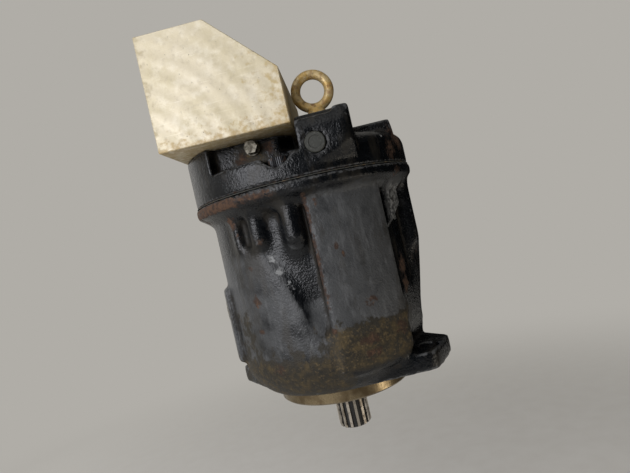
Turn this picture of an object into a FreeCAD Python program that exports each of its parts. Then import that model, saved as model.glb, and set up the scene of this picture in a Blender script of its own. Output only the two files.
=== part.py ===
"""Variable axial piston pump, swashplate type, with a port block on its rear cover.

Frame: origin in the middle of the mounting flange's face, on the shaft axis.
+Z runs from the flange to the rear cover, so the splined shaft end points to -Z.
+X and +Y are square with the port block. Two groups are turned about Z:
  flange frame  turned by flange_turn, its X runs through both mounting holes
  kit frame     turned by kit_turn, its X is the axis the swashplate tilts about
"""
import FreeCAD, Part
import math
import os
import re
import Sketcher

os.makedirs("parts", exist_ok=True)

V = FreeCAD.Vector
UP = V(0, 0, 1)
doc = FreeCAD.newDocument("axial_piston_pump")
sheet = doc.addObject("Spreadsheet::Sheet", "Sizes")

# ---------------------------------------------------------------- driving sizes (mm, degrees)
SIZES = [
    # mounting interface: two-bolt flange and pilot of the SAE J744 size C
    ("flange_turn", "-24.5", "turn of the line through the mounting holes"),
    ("pilot_r", "63.5", "pilot radius"),
    ("pilot_h", "12.7", "pilot height below the flange face"),
    ("flange_t", "16", "ear thickness"),
    ("ear_pitch", "181", "distance between the mounting holes"),
    ("ear_hole_r", "8.75", "mounting hole radius"),
    ("ear_round", "12.5", "mounting hole to the end of the ear"),
    ("ear_end", "=ear_pitch / 2 + ear_round", "centre to the end of an ear"),
    ("ear_half_w", "24.5", "half the width of an ear at its end"),
    ("ear_corner_r", "9", "rounding of the ear corners"),
    ("spotface_r", "15", "bolt seat radius"),
    ("spotface_depth", "0.8", "bolt seat depth"),
    ("hub_r", "73.6", "circle the flange edges run tangent to"),
    ("ear_corner", "=sqrt(ear_end * ear_end + ear_half_w * ear_half_w)", "centre to an ear corner"),
    ("tangent_turn", "=atan(ear_half_w / ear_end) + acos(hub_r / ear_corner)", "where an edge meets the hub circle"),
    # case
    ("kit_turn", "20.5", "turn of the swashplate's tilt axis"),
    ("joint_z", "179", "height of the face the rear cover sits on"),
    ("gasket_t", "0.5", "joint gasket thickness"),
    ("case_top", "=joint_z - gasket_t", "top face of the case"),
    ("case_wall", "4.4", "wall outside the actuator channels"),
    ("case_r", "=arm_reach + guide_room_r + case_wall", "outside radius of the case"),
    ("case_foot_r", "=hub_r - 0.6", "case radius at the flange face"),
    ("case_round_z", "30", "height where the foot reaches the full radius"),
    ("collar_lip", "1.6", "how far the collar stands out past the cover"),
    ("collar_r", "=cover_r + collar_lip", "collar radius at the joint"),
    ("collar_h", "9.3", "collar height"),
    ("neck_drop", "10", "height of the slope under the collar"),
    ("pad_r", "=case_r + 3.5", "radius of the cylinder pads over the two actuators"),
    ("pad_span", "43.5", "angle the actuator pads cover"),
    ("pad_start", "-87", "first edge of the front pad"),
    ("side_pad_r", "=case_r + 5.3", "radius of the drain port pad"),
    ("side_pad_low", "33", "bottom of the drain port pad"),
    ("side_pad_high", "102", "top of the drain port pad"),
    ("bulge_r", "=case_r + 8", "radius of the right-hand bulge"),
    ("bulge_low", "40", "height at which the bulge leaves the case's wall"),
    ("bulge_full", "=bulge_low + 68", "height at which the bulge reaches its radius"),
    ("barrel_room", "7.5", "room around the barrel"),
    ("cavity_r", "=barrel_r + barrel_room", "radius of the room for the rotating group"),
    ("cavity_floor", "=tilt_z - saddle_r + 2", "floor of that room"),
    ("socket_floor", "=case_r - 7", "inner radius of the cast pocket beside the bulge"),
    ("recess_floor", "=case_r - 5.5", "inner radius of the cast recess left of the front pad"),
    ("drain_r", "9.5", "drain port radius"),
    ("drain_turn", "188.5", "angle of the drain port on the left pad"),
    ("drain_z", "81", "height of that port"),
    ("far_drain_turn", "60", "angle of the second drain port, on the back"),
    ("far_drain_z", "137", "height of that port"),
    ("drain_seat", "=side_pad_r - 3", "sunk seat of the drain plug"),
    ("far_drain_seat", "=case_r - 3", "sunk seat of the second plug"),
    # tilt mechanism
    ("tilt_z", "77", "height of the tilt axis, in the plane of the piston ball centres"),
    ("rest_tilt", "17", "swash angle at full stroke, the pose at rest"),
    ("face_drop", "10.5", "tilt axis to the slippers' running face"),
    ("swash_r", "=cavity_r - 7", "swashplate radius"),
    ("swash_t", "13", "thickness of the swashplate disc"),
    ("cradle_r", "46", "radius of the swashplate's bearing arcs"),
    ("saddle_r", "=cradle_r + 2 * needle_r + needle_gap", "radius of the bearing seats in the case"),
    ("saddle_back", "38", "reach of the bearing seats on the control side"),
    ("saddle_front", "33", "reach of the bearing seats on the bias side"),
    ("cradle_in", "25", "inner end of a bearing arc along the tilt axis"),
    ("cradle_w", "20", "width of a bearing arc"),
    ("needle_r", "1.9", "radius of a saddle needle"),
    ("needle_gap", "0.2", "clearance of the needles between swashplate and seat"),
    ("actuator_room", "5.5", "room between the barrel and the control piston rod"),
    ("arm_reach", "=barrel_r + guide_rod_r + actuator_room", "tilt arm length, to an actuator's axis"),
    ("arm_half_w", "11", "half the width of a tilt arm"),
    ("nose_r", "7", "radius of an actuator's round nose"),
    ("nose_gap", "0.4", "clearance between a nose and its pad"),
    ("sleeve_len", "62", "nose centre to the open end of an actuator sleeve"),
    ("sleeve_gap", "0.05", "radial clearance of a sleeve on its rod"),
    ("guide_rod_r", "9", "radius of the rod the control piston rides on"),
    ("bias_rod_r", "6.5", "radius of the rod the bias piston rides on"),
    ("guide_room_r", "15.6", "radius of the channel around an actuator"),
    ("guide_room_low", "=tilt_z - 41", "bottom of an actuator channel"),
    # rotating group
    ("piston_count", "9", "number of pistons"),
    ("pitch_r", "40", "radius of the piston circle"),
    ("first_piston", "10", "angle of the first piston in the kit frame"),
    ("bore_r", "10", "cylinder bore radius"),
    ("piston_gap", "0.03", "radial clearance of a piston in its bore"),
    ("piston_len", "72", "ball centre to the end of a piston"),
    ("ball_r", "7", "piston ball radius"),
    ("ball_gap", "0.06", "clearance of the ball in its slipper"),
    ("piston_neck_r", "4.4", "radius behind the ball"),
    ("oil_hole_r", "1", "oil hole through piston and slipper"),
    ("slipper_gap", "0.25", "oil film and running clearance under a slipper"),
    ("slipper_apart", "0.78", "half the gap between neighbouring slipper feet"),
    ("slipper_foot_r", "=pitch_r * sin(180 / piston_count) - slipper_apart", "slipper foot radius"),
    ("slipper_foot_t", "4.3", "slipper foot thickness"),
    ("slipper_body_r", "8.2", "slipper body radius"),
    ("slipper_top", "3.4", "slipper rim above the ball centre"),
    ("retainer_t", "4", "retainer plate thickness"),
    ("retainer_gap", "0.3", "clearance of the retainer over the slipper feet"),
    ("retainer_hole_r", "10.4", "retainer hole radius around a slipper"),
    ("retainer_r", "=pitch_r + 15", "retainer plate radius"),
    ("dome_r", "=pitch_r - 15", "radius of the retainer ball"),
    ("dome_up", "8", "retainer ball: tilt axis to its rear face"),
    ("dome_down", "9", "retainer ball: tilt axis to its front face"),
    ("barrel_wall", "6.5", "barrel wall outside the bores"),
    ("barrel_r", "=pitch_r + bore_r + barrel_wall", "cylinder barrel radius"),
    ("barrel_z", "=tilt_z + 24", "front face of the barrel"),
    ("barrel_end", "=joint_z - valve_plate_t - 0.1", "rear face of the barrel"),
    ("bore_end", "=barrel_end - 9.9", "bottom of the cylinder bores"),
    ("suction_span", "116", "angle of the suction kidneys"),
    ("delivery_span", "96", "angle of the delivery kidney"),
    ("kidney_w", "9", "radial width of the kidney openings"),
    ("valve_plate_t", "5", "valve plate thickness"),
    ("plate_pin_y", "=valve_plate_r - 5", "locating pin of the valve plate, from the shaft axis"),
    ("valve_plate_r", "=barrel_r - 0.5", "valve plate radius"),
    ("hold_pin_r", "1.9", "hold-down pin radius"),
    ("hold_pin_ring", "21.6", "radius of the hold-down pin circle"),
    ("chamber_r", "=pitch_r - bore_r - 5", "spring chamber radius in the barrel"),
    ("chamber_z", "=barrel_end - 38.9", "front end of the spring chamber"),
    ("drive_gap", "0.3", "opened drive: shaft tips to barrel spline tips"),
    # shaft
    ("shaft_end", "56", "shaft end below the flange face"),
    ("coupling_teeth", "14", "teeth of the coupling spline"),
    ("coupling_tip_r", "15.6", "tip radius of the coupling spline"),
    ("coupling_root_r", "13.7", "root radius of the coupling spline"),
    ("journal_r", "17.5", "shaft radius at the seal and the front bearing"),
    ("shaft_rib_r", "22", "shaft shoulder behind the front bearing"),
    ("drive_tip_r", "17.3", "tip radius of the drive spline"),
    ("drive_root_r", "15.4", "root radius of the drive spline"),
    ("drive_teeth", "18", "teeth of the drive spline"),
    ("rear_journal_r", "15", "shaft radius at the rear bearing"),
    # tapered roller bearings
    ("front_race_r", "36", "front bearing outside radius"),
    ("front_z", "3", "front bearing seat"),
    ("front_w", "18.25", "front bearing overall width"),
    ("rear_race_r", "31", "rear bearing outside radius"),
    ("rear_w", "17.25", "rear bearing overall width"),
    ("rear_seat", "=joint_z + 18", "rear bearing seat in the cover"),
    ("roller_tilt", "12.2", "slope of the roller axes"),
    ("roller_half", "1.8", "half the taper of a roller"),
    ("race_gap", "0.03", "clearance of the rollers in their tracks"),
    # shaft seal
    ("seal_r", "26", "shaft seal outside radius"),
    ("seal_t", "8", "shaft seal width"),
    ("seal_z", "-9", "outer face of the shaft seal"),
    ("ring_groove_r", "27.6", "retaining ring groove radius"),
    ("ring_t", "2", "retaining ring thickness"),
    # rear cover (port plate)
    ("cover_lip", "11.8", "how far the cover stands out past the case wall"),
    ("cover_r", "=case_r + cover_lip", "cover radius"),
    ("cover_step_z", "=joint_z + 28", "shoulder of the cover"),
    ("front_step_z", "=joint_z + 21", "lower shoulder in front of the port block's seat"),
    ("cover_seat_z", "=joint_z + 43", "face the port block sits on"),
    ("joint_screw_r", "6", "joint screw radius, M12"),
    ("joint_screw_ring", "=cover_r - 15", "radius of the joint screw circle"),
    ("joint_screw_turn", "-95", "angle of the first joint screw"),
    ("joint_screw_floor", "=joint_z + 8", "seat of the joint screw heads"),
    ("joint_boss_r", "=joint_screw_r + 3", "radius of the cast boss under a joint screw"),
    ("scallop_r", "11.5", "radius of the pocket around a screw head"),
    ("mouth_r", "13", "radius of the scoop that opens the front pocket"),
    ("screw_gap", "0.25", "screw clearance in plain holes"),
    ("thread_gap", "0.05", "screw clearance in tapped holes"),
    ("delivery_x", "-42", "delivery passage, X"),
    ("delivery_y", "-16", "delivery passage, Y"),
    ("delivery_r", "12.5", "delivery passage radius"),
    ("suction_x", "=block_x + block_w + 36.8", "suction port, X"),
    ("suction_y", "17.5", "suction port, Y"),
    ("suction_r", "25", "suction port radius"),
    ("suction_z", "=joint_z + 36", "suction port face"),
    ("suction_pitch_x", "42.9", "suction bolt spacing along X"),
    ("suction_pitch_y", "77.8", "suction bolt spacing along Y"),
    ("boss_x", "=block_x + block_w + 2", "left side of the lifting boss"),
    ("boss_w", "44", "width of the lifting boss"),
    ("boss_front", "=1.3 - cover_r", "front face of the lifting boss"),
    ("boss_back", "-45", "back of the lifting boss"),
    ("boss_z", "=joint_z + 49", "top of the lifting boss"),
    ("plug_x", "=boss_x + 13", "round plug, X"),
    ("plug_z", "=joint_z + 23.5", "round plug, Z"),
    ("plug_r", "8.2", "round plug radius"),
    ("seat_front", "=block_y + 33", "front of the cover's seat for the port block"),
    ("gallery_x", "-28.8", "gallery plug, X"),
    ("gallery_z", "=cover_seat_z - 6.5", "gallery plug, Z"),
    # port block
    ("block_x", "-97", "left face of the block"),
    ("block_w", "107", "block width"),
    ("block_y", "-101", "front face of the block"),
    ("block_d", "140", "block depth"),
    ("block_h", "94", "block height"),
    ("block_cut", "50", "size of the chamfered corner"),
    ("block_edge", "0.6", "edge break of the block"),
    ("block_head_high", "=cover_seat_z + 80", "seat of the left block screws"),
    ("block_head_low", "=cover_seat_z + 37", "seat of the right block screws"),
    ("block_screw_x", "=block_x + 17", "first row of block screws, X"),
    ("block_screw_y", "=block_y + 49", "first row of block screws, Y"),
    ("block_pitch_x", "=block_w - 35", "block screw spacing along X"),
    ("block_pitch_y", "=block_d - 58", "block screw spacing along Y"),
    ("outlet_z", "=cover_seat_z + 47", "height of the outlet port"),
    ("outlet_pitch_y", "26.2", "outlet bolt spacing along Y"),
    ("outlet_pitch_z", "52.4", "outlet bolt spacing along Z"),
    ("outlet_bolt_r", "5", "outlet tapped hole radius, M10"),
    # lifting eye
    ("eye_x", "=boss_x + 19", "lifting eye, X"),
    ("eye_y", "=boss_front + 33.5", "lifting eye, Y"),
    ("eye_hole_r", "10", "inside radius of the eye"),
    ("eye_wire_r", "4", "half the thickness of the eye"),
    # pressure compensator on the back of the cover
    ("valve_y", "=cover_r + 1.2", "seat of the compensator, from the shaft axis"),
    ("valve_half_w", "38", "half the compensator's length"),
    ("valve_low", "=joint_z + 1", "bottom of the compensator"),
    ("valve_h", "44", "compensator height"),
    ("valve_depth", "40", "compensator depth"),
    ("adjuster_seat", "=valve_half_w - 11.5", "spring side of the adjuster's disc"),
    ("valve_screw_r", "2.5", "compensator screw radius, M5"),
    ("valve_screw_x", "=valve_half_w - 10", "half the screw spacing along the compensator"),
    ("valve_screw_z", "16", "half the screw spacing across it"),
    ("spool_r", "5", "spool land radius"),
    ("spool_gap", "0.02", "radial clearance of the spool"),
    ("spool_y", "=valve_y + valve_depth / 2", "spool axis"),
    ("spool_z", "=valve_low + valve_h / 2", "spool axis"),
]
ALIASES = {row[0] for row in SIZES}
for number, (alias, value, note) in enumerate(SIZES, start=1):
    sheet.set(f"A{number}", alias)
    sheet.set(f"B{number}", value)
    sheet.set(f"C{number}", note)
    sheet.setAlias(f"B{number}", alias)
doc.recompute()


# ---------------------------------------------------------------- helpers
class Reader:
    """Reads the sheet's sizes as plain numbers: s.barrel_r."""

    def __getattr__(self, alias):
        cell = sheet.get(alias)
        return float(getattr(cell, "Value", cell))


s = Reader()
NODES = {}


def ref(text):
    """An expression with each size's alias pointed at the sheet."""
    return re.sub(r"[a-z_][a-z0-9_]*", lambda word: "Sizes." + word[0] if word[0] in ALIASES else word[0], str(text))


def bind(item, prop, text):
    """Ties one property to an expression of sizes."""
    item.setExpression(prop, ref(text))


def place(item, x="0", y="0", z="0", along="Z", angle=None):
    """Puts an object's own origin at x, y, z, with its length along Z, X or Y, or turned about Z by angle."""
    axis, turn = {"Z": (UP, 0), "X": (V(0, 1, 0), 90), "Y": (V(1, 0, 0), -90)}[along]
    item.Placement = FreeCAD.Placement(V(0, 0, 0), FreeCAD.Rotation(axis, 1 if angle else turn))
    for letter, text in zip("xyz", (x, y, z)):
        bind(item, f"Placement.Base.{letter}", text)
    if angle:
        bind(item, "Placement.Rotation.Angle", angle)
    return item


def rod(name, r, h, x="0", y="0", z="0", along="Z", span="360", start=None):
    """A cylinder, or a pie slice of one that begins at the angle start."""
    item = doc.addObject("Part::Cylinder", name)
    bind(item, "Radius", r)
    bind(item, "Height", h)
    bind(item, "Angle", span)
    return place(item, x, y, z, along, start)


def cone(name, r1, r2, h, x="0", y="0", z="0", along="Z"):
    """A cone frustum, r1 at its origin."""
    item = doc.addObject("Part::Cone", name)
    bind(item, "Radius1", r1)
    bind(item, "Radius2", r2)
    bind(item, "Height", h)
    return place(item, x, y, z, along)


def ball(name, r, x="0", y="0", z="0"):
    """A sphere."""
    item = doc.addObject("Part::Sphere", name)
    bind(item, "Radius", r)
    return place(item, x, y, z)


def hexagon(name, across, h, x="0", y="0", z="0", along="Z"):
    """A hexagonal prism; across is the distance between flats."""
    item = doc.addObject("Part::Prism", name)
    item.Polygon = 6
    bind(item, "Circumradius", f"({across}) / sqrt(3)")
    bind(item, "Height", h)
    return place(item, x, y, z, along)


def box(name, x, y, z, dx, dy, dz):
    """A box from its low corner and its three sizes."""
    item = doc.addObject("Part::Box", name)
    for prop, text in (("Length", dx), ("Width", dy), ("Height", dz)):
        bind(item, prop, text)
    return place(item, x, y, z)


def fuse(name, parts, turn=None):
    """One solid from several, turned about Z if asked."""
    item = doc.addObject("Part::MultiFuse", name)
    item.Shapes = parts
    item.Refine = True
    return place(item, angle=turn)


def cut(name, base, tools, turn=None):
    """The base less every tool, turned about Z if asked."""
    item = doc.addObject("Part::Cut", name)
    item.Base = base
    item.Tool = tools[0] if len(tools) == 1 else fuse(name + "_tools", tools)
    item.Refine = True
    return place(item, angle=turn)


def common(name, parts):
    """What all the parts share."""
    item = doc.addObject("Part::MultiCommon", name)
    item.Shapes = parts
    item.Refine = True
    return item


def group(name, parts, turn=None):
    """Separate solids kept together, turned about Z if asked."""
    item = doc.addObject("Part::Compound", name)
    item.Links = parts
    return place(item, angle=turn)


def made(name, shape, turn=None):
    """A shape worked out in Python from the sheet's sizes, turned about Z if asked."""
    item = doc.addObject("Part::Feature", name)
    item.Shape = shape
    return place(item, angle=turn)


def outline(body, name, role, points):
    """A closed sketch whose corners are tied to expressions of sizes."""
    sketch = body.newObject("Sketcher::SketchObject", name)
    plane = [item for item in body.Origin.OriginFeatures if item.Role == role][0]
    sketch.AttachmentSupport = (plane, [""])
    sketch.MapMode = "FlatFace"
    count = len(points)
    ring = [V(60 + 50 * math.cos(math.tau * k / count), 50 * math.sin(math.tau * k / count), 0) for k in range(count)]
    for k in range(count):
        sketch.addGeometry(Part.LineSegment(ring[k], ring[(k + 1) % count]))
    for k in range(count):
        sketch.addConstraint(Sketcher.Constraint("Coincident", k, 2, (k + 1) % count, 1))
    for k, corner in enumerate(points):
        for kind, text, guess in zip(("DistanceX", "DistanceY"), corner, ring[k]):
            index = sketch.addConstraint(Sketcher.Constraint(kind, -1, 1, k, 1, guess))
            sketch.setExpression(f"Constraints[{index}]", ref(text))
    return sketch


def turned(name, points):
    """A body turned about Z from a half section given as (radius, height) corners."""
    body = doc.addObject("PartDesign::Body", name)
    sketch = outline(body, name + "_section", "XZ_Plane", points)
    feature = body.newObject("PartDesign::Revolution", name + "_turn")
    feature.Profile = sketch
    feature.ReferenceAxis = (sketch, ["V_Axis"])
    feature.Angle = 360
    return body


def slab(name, points, low, thickness, role="XY_Plane", turn=None):
    """A body padded from an outline; on the XZ plane it runs along +Y from low, on the YZ plane along +X."""
    body = doc.addObject("PartDesign::Body", name)
    sketch = outline(body, name + "_outline", role, points)
    feature = body.newObject("PartDesign::Pad", name + "_pad")
    feature.Profile = sketch
    feature.Reversed = role == "XZ_Plane"
    bind(feature, "Length", thickness)
    if role == "XZ_Plane":
        return place(body, y=low)
    if role == "YZ_Plane":
        return place(body, x=low)
    return place(body, z=low, angle=turn)


def polar(ring, angle):
    """The X and Y expressions of a point on a circle."""
    return f"({ring}) * cos({angle})", f"({ring}) * sin({angle})"


def node(name, item):
    """Registers the finished sub-part under its node name."""
    item.Label = name
    NODES[name] = item
    return item


def kidney(ring, width, middle, span, low, height):
    """A curved slot with round ends: part of a ring, from its middle angle and its span."""
    half = width / 2
    outer = Part.makeCylinder(ring + half, height, V(0, 0, low), UP, span)
    inner = Part.makeCylinder(ring - half, height, V(0, 0, low), UP, span)
    arc = outer.cut(inner)
    arc.rotate(V(0, 0, 0), UP, middle - span / 2)
    shape = arc
    for end in (middle - span / 2, middle + span / 2):
        x = ring * math.cos(math.radians(end))
        y = ring * math.sin(math.radians(end))
        shape = shape.fuse(Part.makeCylinder(half, height, V(x, y, low)))
    return shape


def splined(teeth, root_r, tip_r, land, low, height):
    """An external spline: a toothed prism. land is the share of a pitch a tooth fills at its tip."""
    pitch = math.tau / teeth
    corners = []
    for k in range(teeth):
        for r, share in ((root_r, -0.62), (tip_r, -land), (tip_r, land), (root_r, 0.62)):
            angle = pitch * (k + share / 2)
            corners.append(V(r * math.cos(angle), r * math.sin(angle), low))
    corners.append(corners[0])
    return Part.Face(Part.makePolygon(corners)).extrude(V(0, 0, height))


def coil(r, wire, low, high, turns):
    """A compression spring with its end turns ground flat."""
    pitch = (high - low) / turns
    path = Part.makeHelix(pitch, high - low, r)
    section = Part.Wire([Part.Circle(V(r, 0, 0), V(0, 1, 0), wire).toShape()])
    wound = Part.Wire(path.Edges).makePipeShell([section], True, True)
    wound.translate(V(0, 0, low))
    room = Part.makeCylinder(r + 2 * wire, high - low, V(0, 0, low))
    return wound.common(room)


def cap_screw(name, r, grip, x, y, z):
    """A socket head cap screw standing on z: head 1.5 d wide and d high, with its hexagon socket."""
    head = rod(name + "_head", f"1.5 * ({r})", f"2 * ({r})", x, y, z)
    socket = hexagon(name + "_socket", f"1.65 * ({r})", f"1.2 * ({r})", x, y, f"{z} + 0.85 * ({r})")
    shank = rod(name + "_shank", r, grip, x, y, f"{z} - ({grip})")
    return fuse(name, [cut(name + "_cap", head, [socket]), shank])


# ---------------------------------------------------------------- case
def case_layer(name, radius, high):
    """The case's outside at one radius: a rounded foot, then a straight wall up to a height."""
    rise = f"({radius} - case_foot_r)"
    return turned(name, [
        ("0", "0"),
        ("case_foot_r", "0"),
        (f"case_foot_r + {rise} * 0.35", "case_round_z * 0.18"),
        (f"case_foot_r + {rise} * 0.7", "case_round_z * 0.48"),
        (f"case_foot_r + {rise} * 0.92", "case_round_z * 0.78"),
        (radius, "case_round_z * 1.05"),
        (radius, high),
        ("0", high),
    ])


def case_sector(name, radius, start, span, low, high):
    """A raised pad on the case: a slice of a rounded layer."""
    layer = case_layer(name + "_layer", radius, high)
    slice_ = rod(name + "_slice", f"{radius} + 5", f"{high} - ({low})", z=low, span=span, start=start)
    return common(name, [layer, slice_])


def case_collar():
    """The collar under the joint, with the slope that leads up to it."""
    return turned("case_collar", [
        ("cavity_r", "case_top - collar_h - neck_drop"),
        ("case_r", "case_top - collar_h - neck_drop"),
        ("collar_r - 8", "case_top - collar_h - 4.5"),
        ("collar_r - 1", "case_top - collar_h"),
        ("collar_r", "case_top - collar_h + 1"),
        ("collar_r", "case_top - 0.8"),
        ("collar_r - 0.8", "case_top"),
        ("cavity_r", "case_top"),
    ])


def ear_relief(name, turn):
    """Room for a spanner over one ear: the slope the case is cut back to."""
    side = [
        ("ear_end - 31", "flange_t"),
        ("ear_end - 31", "flange_t + 8"),
        ("ear_end - 22.5", "flange_t + 42"),
        ("ear_end - 17", "flange_t + 63"),
        ("ear_end - 11.5", "flange_t + 87"),
        ("ear_end + 20", "flange_t + 87"),
        ("ear_end + 20", "flange_t"),
    ]
    wedge = slab(name + "_wedge", side, "-spotface_r - 11", "spotface_r + case_r", role="XZ_Plane")
    return group(name, [wedge], turn=turn)


def case_flange():
    """Two-bolt flange with its rounded ears and bolt seats."""
    x = "hub_r * cos(tangent_turn)"
    y = "hub_r * sin(tangent_turn)"
    corners = [
        ("ear_end", "ear_half_w"),
        (x, y),
        (f"-{x}", y),
        ("-ear_end", "ear_half_w"),
        ("-ear_end", "-ear_half_w"),
        (f"-{x}", f"-{y}"),
        (x, f"-{y}"),
        ("ear_end", "-ear_half_w"),
    ]
    plate = slab("flange_plate", corners, "0", "flange_t")
    doc.recompute()
    pad = plate.Tip
    upright = []
    for index, edge in enumerate(pad.Shape.Edges, start=1):
        middle = edge.CenterOfMass
        if abs(abs(middle.x) - s.ear_end) < 0.1 and abs(abs(middle.y) - s.ear_half_w) < 0.1:
            upright.append(f"Edge{index}")
    rounding = plate.newObject("PartDesign::Fillet", "ear_rounding")
    rounding.Base = (pad, upright)
    bind(rounding, "Radius", "ear_corner_r")
    seats = []
    for side in ("", "-"):
        hole = rod("ear_hole", "ear_hole_r", "flange_t + 2", x=f"{side}ear_pitch / 2", z="-1")
        seat = rod("ear_seat", "spotface_r", "flange_t", x=f"{side}ear_pitch / 2", z="flange_t - spotface_depth")
        seats += [hole, seat]
    return plate, seats


def cast_details():
    """Half-round bosses and a rib on the case, under the collar."""
    details = []
    for name, turn, r, ring, low in (
        ("long_boss", "-116", "8.5", "case_r - 5", "case_top - 41"),
        ("screw_boss", "joint_screw_turn", "joint_boss_r", "joint_screw_ring", "case_top - 46"),
        ("rib", "-130", "4.5", "case_r - 2", "case_top - 47.5"),
        ("back_boss", "joint_screw_turn + 180", "joint_boss_r", "joint_screw_ring", "case_top - 46"),
    ):
        x, y = polar(ring, turn)
        details.append(rod(name, r, f"case_top - 3 - ({low})", x, y, low))
        details.append(ball(name + "_end", r, x, y, low))
    return details


def front_recess():
    """The cast recess between the front pad and the bosses at its left, with its slanted lower side."""
    edge = "pad_r * cos(pad_start)"
    outside = slab("recess_outline", [
        (edge, "case_top + 1"),
        (edge, "case_top - 120"),
        ("-1", "case_top - 130"),
        ("-7", "case_top - 124"),
        ("-12", "case_top - 107"),
        ("-17", "case_top - 92"),
        ("-25", "case_top - 73"),
        ("-36", "case_top - 54"),
        ("-45", "case_top - 47"),
        ("-58", "case_top - 41"),
        ("-58", "case_top + 1"),
    ], "-cover_r", "cover_r - 50", role="XZ_Plane")
    return cut("front_recess", outside, [rod("recess_core", "recess_floor", "case_top + 4", z="-1")])


def actuator_rooms():
    """Channels in the case around the two actuators, in the kit frame."""
    rooms = []
    for side in ("", "-"):
        rooms.append(rod("actuator_room", "guide_room_r", "case_top - guide_room_low + 1", y=f"{side}arm_reach", z="guide_room_low"))
    return rooms


def make_case():
    """Cast case with flange, pilot, bearing and seal seats, and the two saddle seats."""
    shell = case_layer("case_shell", "case_r", "case_top")
    front_pad = case_sector("front_pad", "pad_r", "pad_start", "pad_span", "14", "case_top - 4")
    back_pad = case_sector("back_pad", "pad_r", "pad_start + 180", "pad_span", "14", "case_top - 4")
    bulge_block = case_sector("bulge_block", "bulge_r", "-13", "42", "bulge_low + 2", "case_top - 6")
    bulge_limit = turned("bulge_limit", [
        ("0", "bulge_low - 10"),
        ("case_r - 1", "bulge_low"),
        ("bulge_r", "bulge_full"),
        ("bulge_r + 1", "case_top"),
        ("0", "case_top"),
    ])
    bulge = common("bulge", [bulge_block, bulge_limit])
    body = fuse("case_body", [shell, front_pad, back_pad, bulge])

    pocket_ring = rod("pocket_ring", "cover_r + 10", "case_top", z="flange_t", span="30.5", start="pad_start + pad_span")
    pocket_core = rod("pocket_core", "socket_floor", "case_top + 4", z="flange_t - 2")
    pocket = cut("pocket", pocket_ring, [pocket_core])
    reliefs = [ear_relief("right_relief", "flange_turn"), ear_relief("left_relief", "flange_turn + 180")]
    relieved = cut("relieved_body", body, reliefs + [pocket, front_recess()])

    sector = case_sector("step_sector", "case_r - 1.5", "-37", "20", "case_top - 60", "case_top - 6")
    window = slab("step_window", [
        ("case_r * 0.6", "case_top - 70"),
        ("case_r", "case_top - 28"),
        ("case_r", "case_top"),
        ("case_r * 0.6", "case_top"),
    ], "-case_r", "case_r", role="XZ_Plane")
    step = common("pocket_step", [sector, window])
    drain_pad = case_sector("drain_pad", "side_pad_r", "172", "33", "side_pad_low", "side_pad_high")
    plate, seats = case_flange()
    flange = group("flange", [plate], turn="flange_turn")
    flange_holes = fuse("flange_holes", seats, turn="flange_turn")
    pilot = turned("pilot", [
        ("0", "-pilot_h"),
        ("pilot_r - 1.5", "-pilot_h"),
        ("pilot_r", "-pilot_h + 1.5"),
        ("pilot_r", "1"),
        ("0", "1"),
    ])
    solid = fuse("case_solid", [relieved, case_collar(), step, drain_pad, flange, pilot] + cast_details())

    room = rod("room", "cavity_r", "case_top - cavity_floor + 1", z="cavity_floor")
    rooms = group("actuator_rooms", actuator_rooms(), turn="kit_turn")
    bearing_seat = rod("front_seat", "front_race_r", "front_w + 2", z="front_z")
    bearing_mouth = rod("front_mouth", "front_race_r - 2", "cavity_floor", z="front_z + front_w")
    shaft_room = rod("shaft_room", "shaft_rib_r", "30", z="-20")
    seal_seat = rod("seal_seat", "seal_r", "pilot_h + seal_z + seal_t + 1", z="-pilot_h - 1")
    ring_groove = rod("ring_groove", "ring_groove_r", "ring_t + 0.1", z="seal_z - ring_t - 0.1")
    hollow = cut("case_hollow", solid, [room, rooms, bearing_seat, bearing_mouth, shaft_room, seal_seat, ring_groove])

    stands = []
    troughs = []
    for side, low_x in (("near", "cradle_in - 1"), ("far", "-cradle_in - cradle_w - 1")):
        stands.append(box(f"{side}_stand", low_x, "-saddle_back", "cavity_floor - 3", "cradle_w + 2", "saddle_back + saddle_front", "27"))
        troughs.append(rod(f"{side}_trough", "saddle_r", "cradle_w + 2", x=low_x, z="tilt_z", along="X"))
    seated = fuse("case_seated", [hollow, group("stands", stands, turn="kit_turn")])

    holes = [flange_holes, group("saddle_troughs", troughs, turn="kit_turn")]
    for k in range(4):
        x, y = polar("joint_screw_ring", f"joint_screw_turn + {90 * k}")
        holes.append(rod("joint_thread", "joint_screw_r + thread_gap", "16", x, y, "joint_z - 15"))
    for turn, z, seat in (("drain_turn", "drain_z", "drain_seat"), ("far_drain_turn", "far_drain_z", "far_drain_seat")):
        hole = rod("drain_hole", "drain_r", "60", x="cavity_r - 6", z=z, along="X")
        sink = rod("drain_sink", "drain_r + 4", "30", x=seat, z=z, along="X")
        holes.append(fuse("drain_port", [hole, sink], turn=turn))
    return node("pump_housing", cut("pump_housing", seated, holes))


def make_gasket():
    """Flat joint gasket, cut out around the rooms and the joint screws."""
    ring = rod("gasket_ring", "collar_r - 1.2", "gasket_t", z="case_top")
    room = rod("gasket_room", "cavity_r", "2", z="case_top - 1")
    rooms = group("gasket_rooms", actuator_rooms_at_joint(), turn="kit_turn")
    holes = []
    for k in range(4):
        x, y = polar("joint_screw_ring", f"joint_screw_turn + {90 * k}")
        holes.append(rod("gasket_hole", "joint_screw_r + screw_gap", "2", x, y, "case_top - 1"))
    return node("joint_gasket", cut("joint_gasket", ring, [room, rooms] + holes))


def actuator_rooms_at_joint():
    """The actuator channels where they pass the gasket."""
    return [rod("gasket_gap", "guide_room_r", "2", y=f"{side}arm_reach", z="case_top - 1") for side in ("", "-")]


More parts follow.
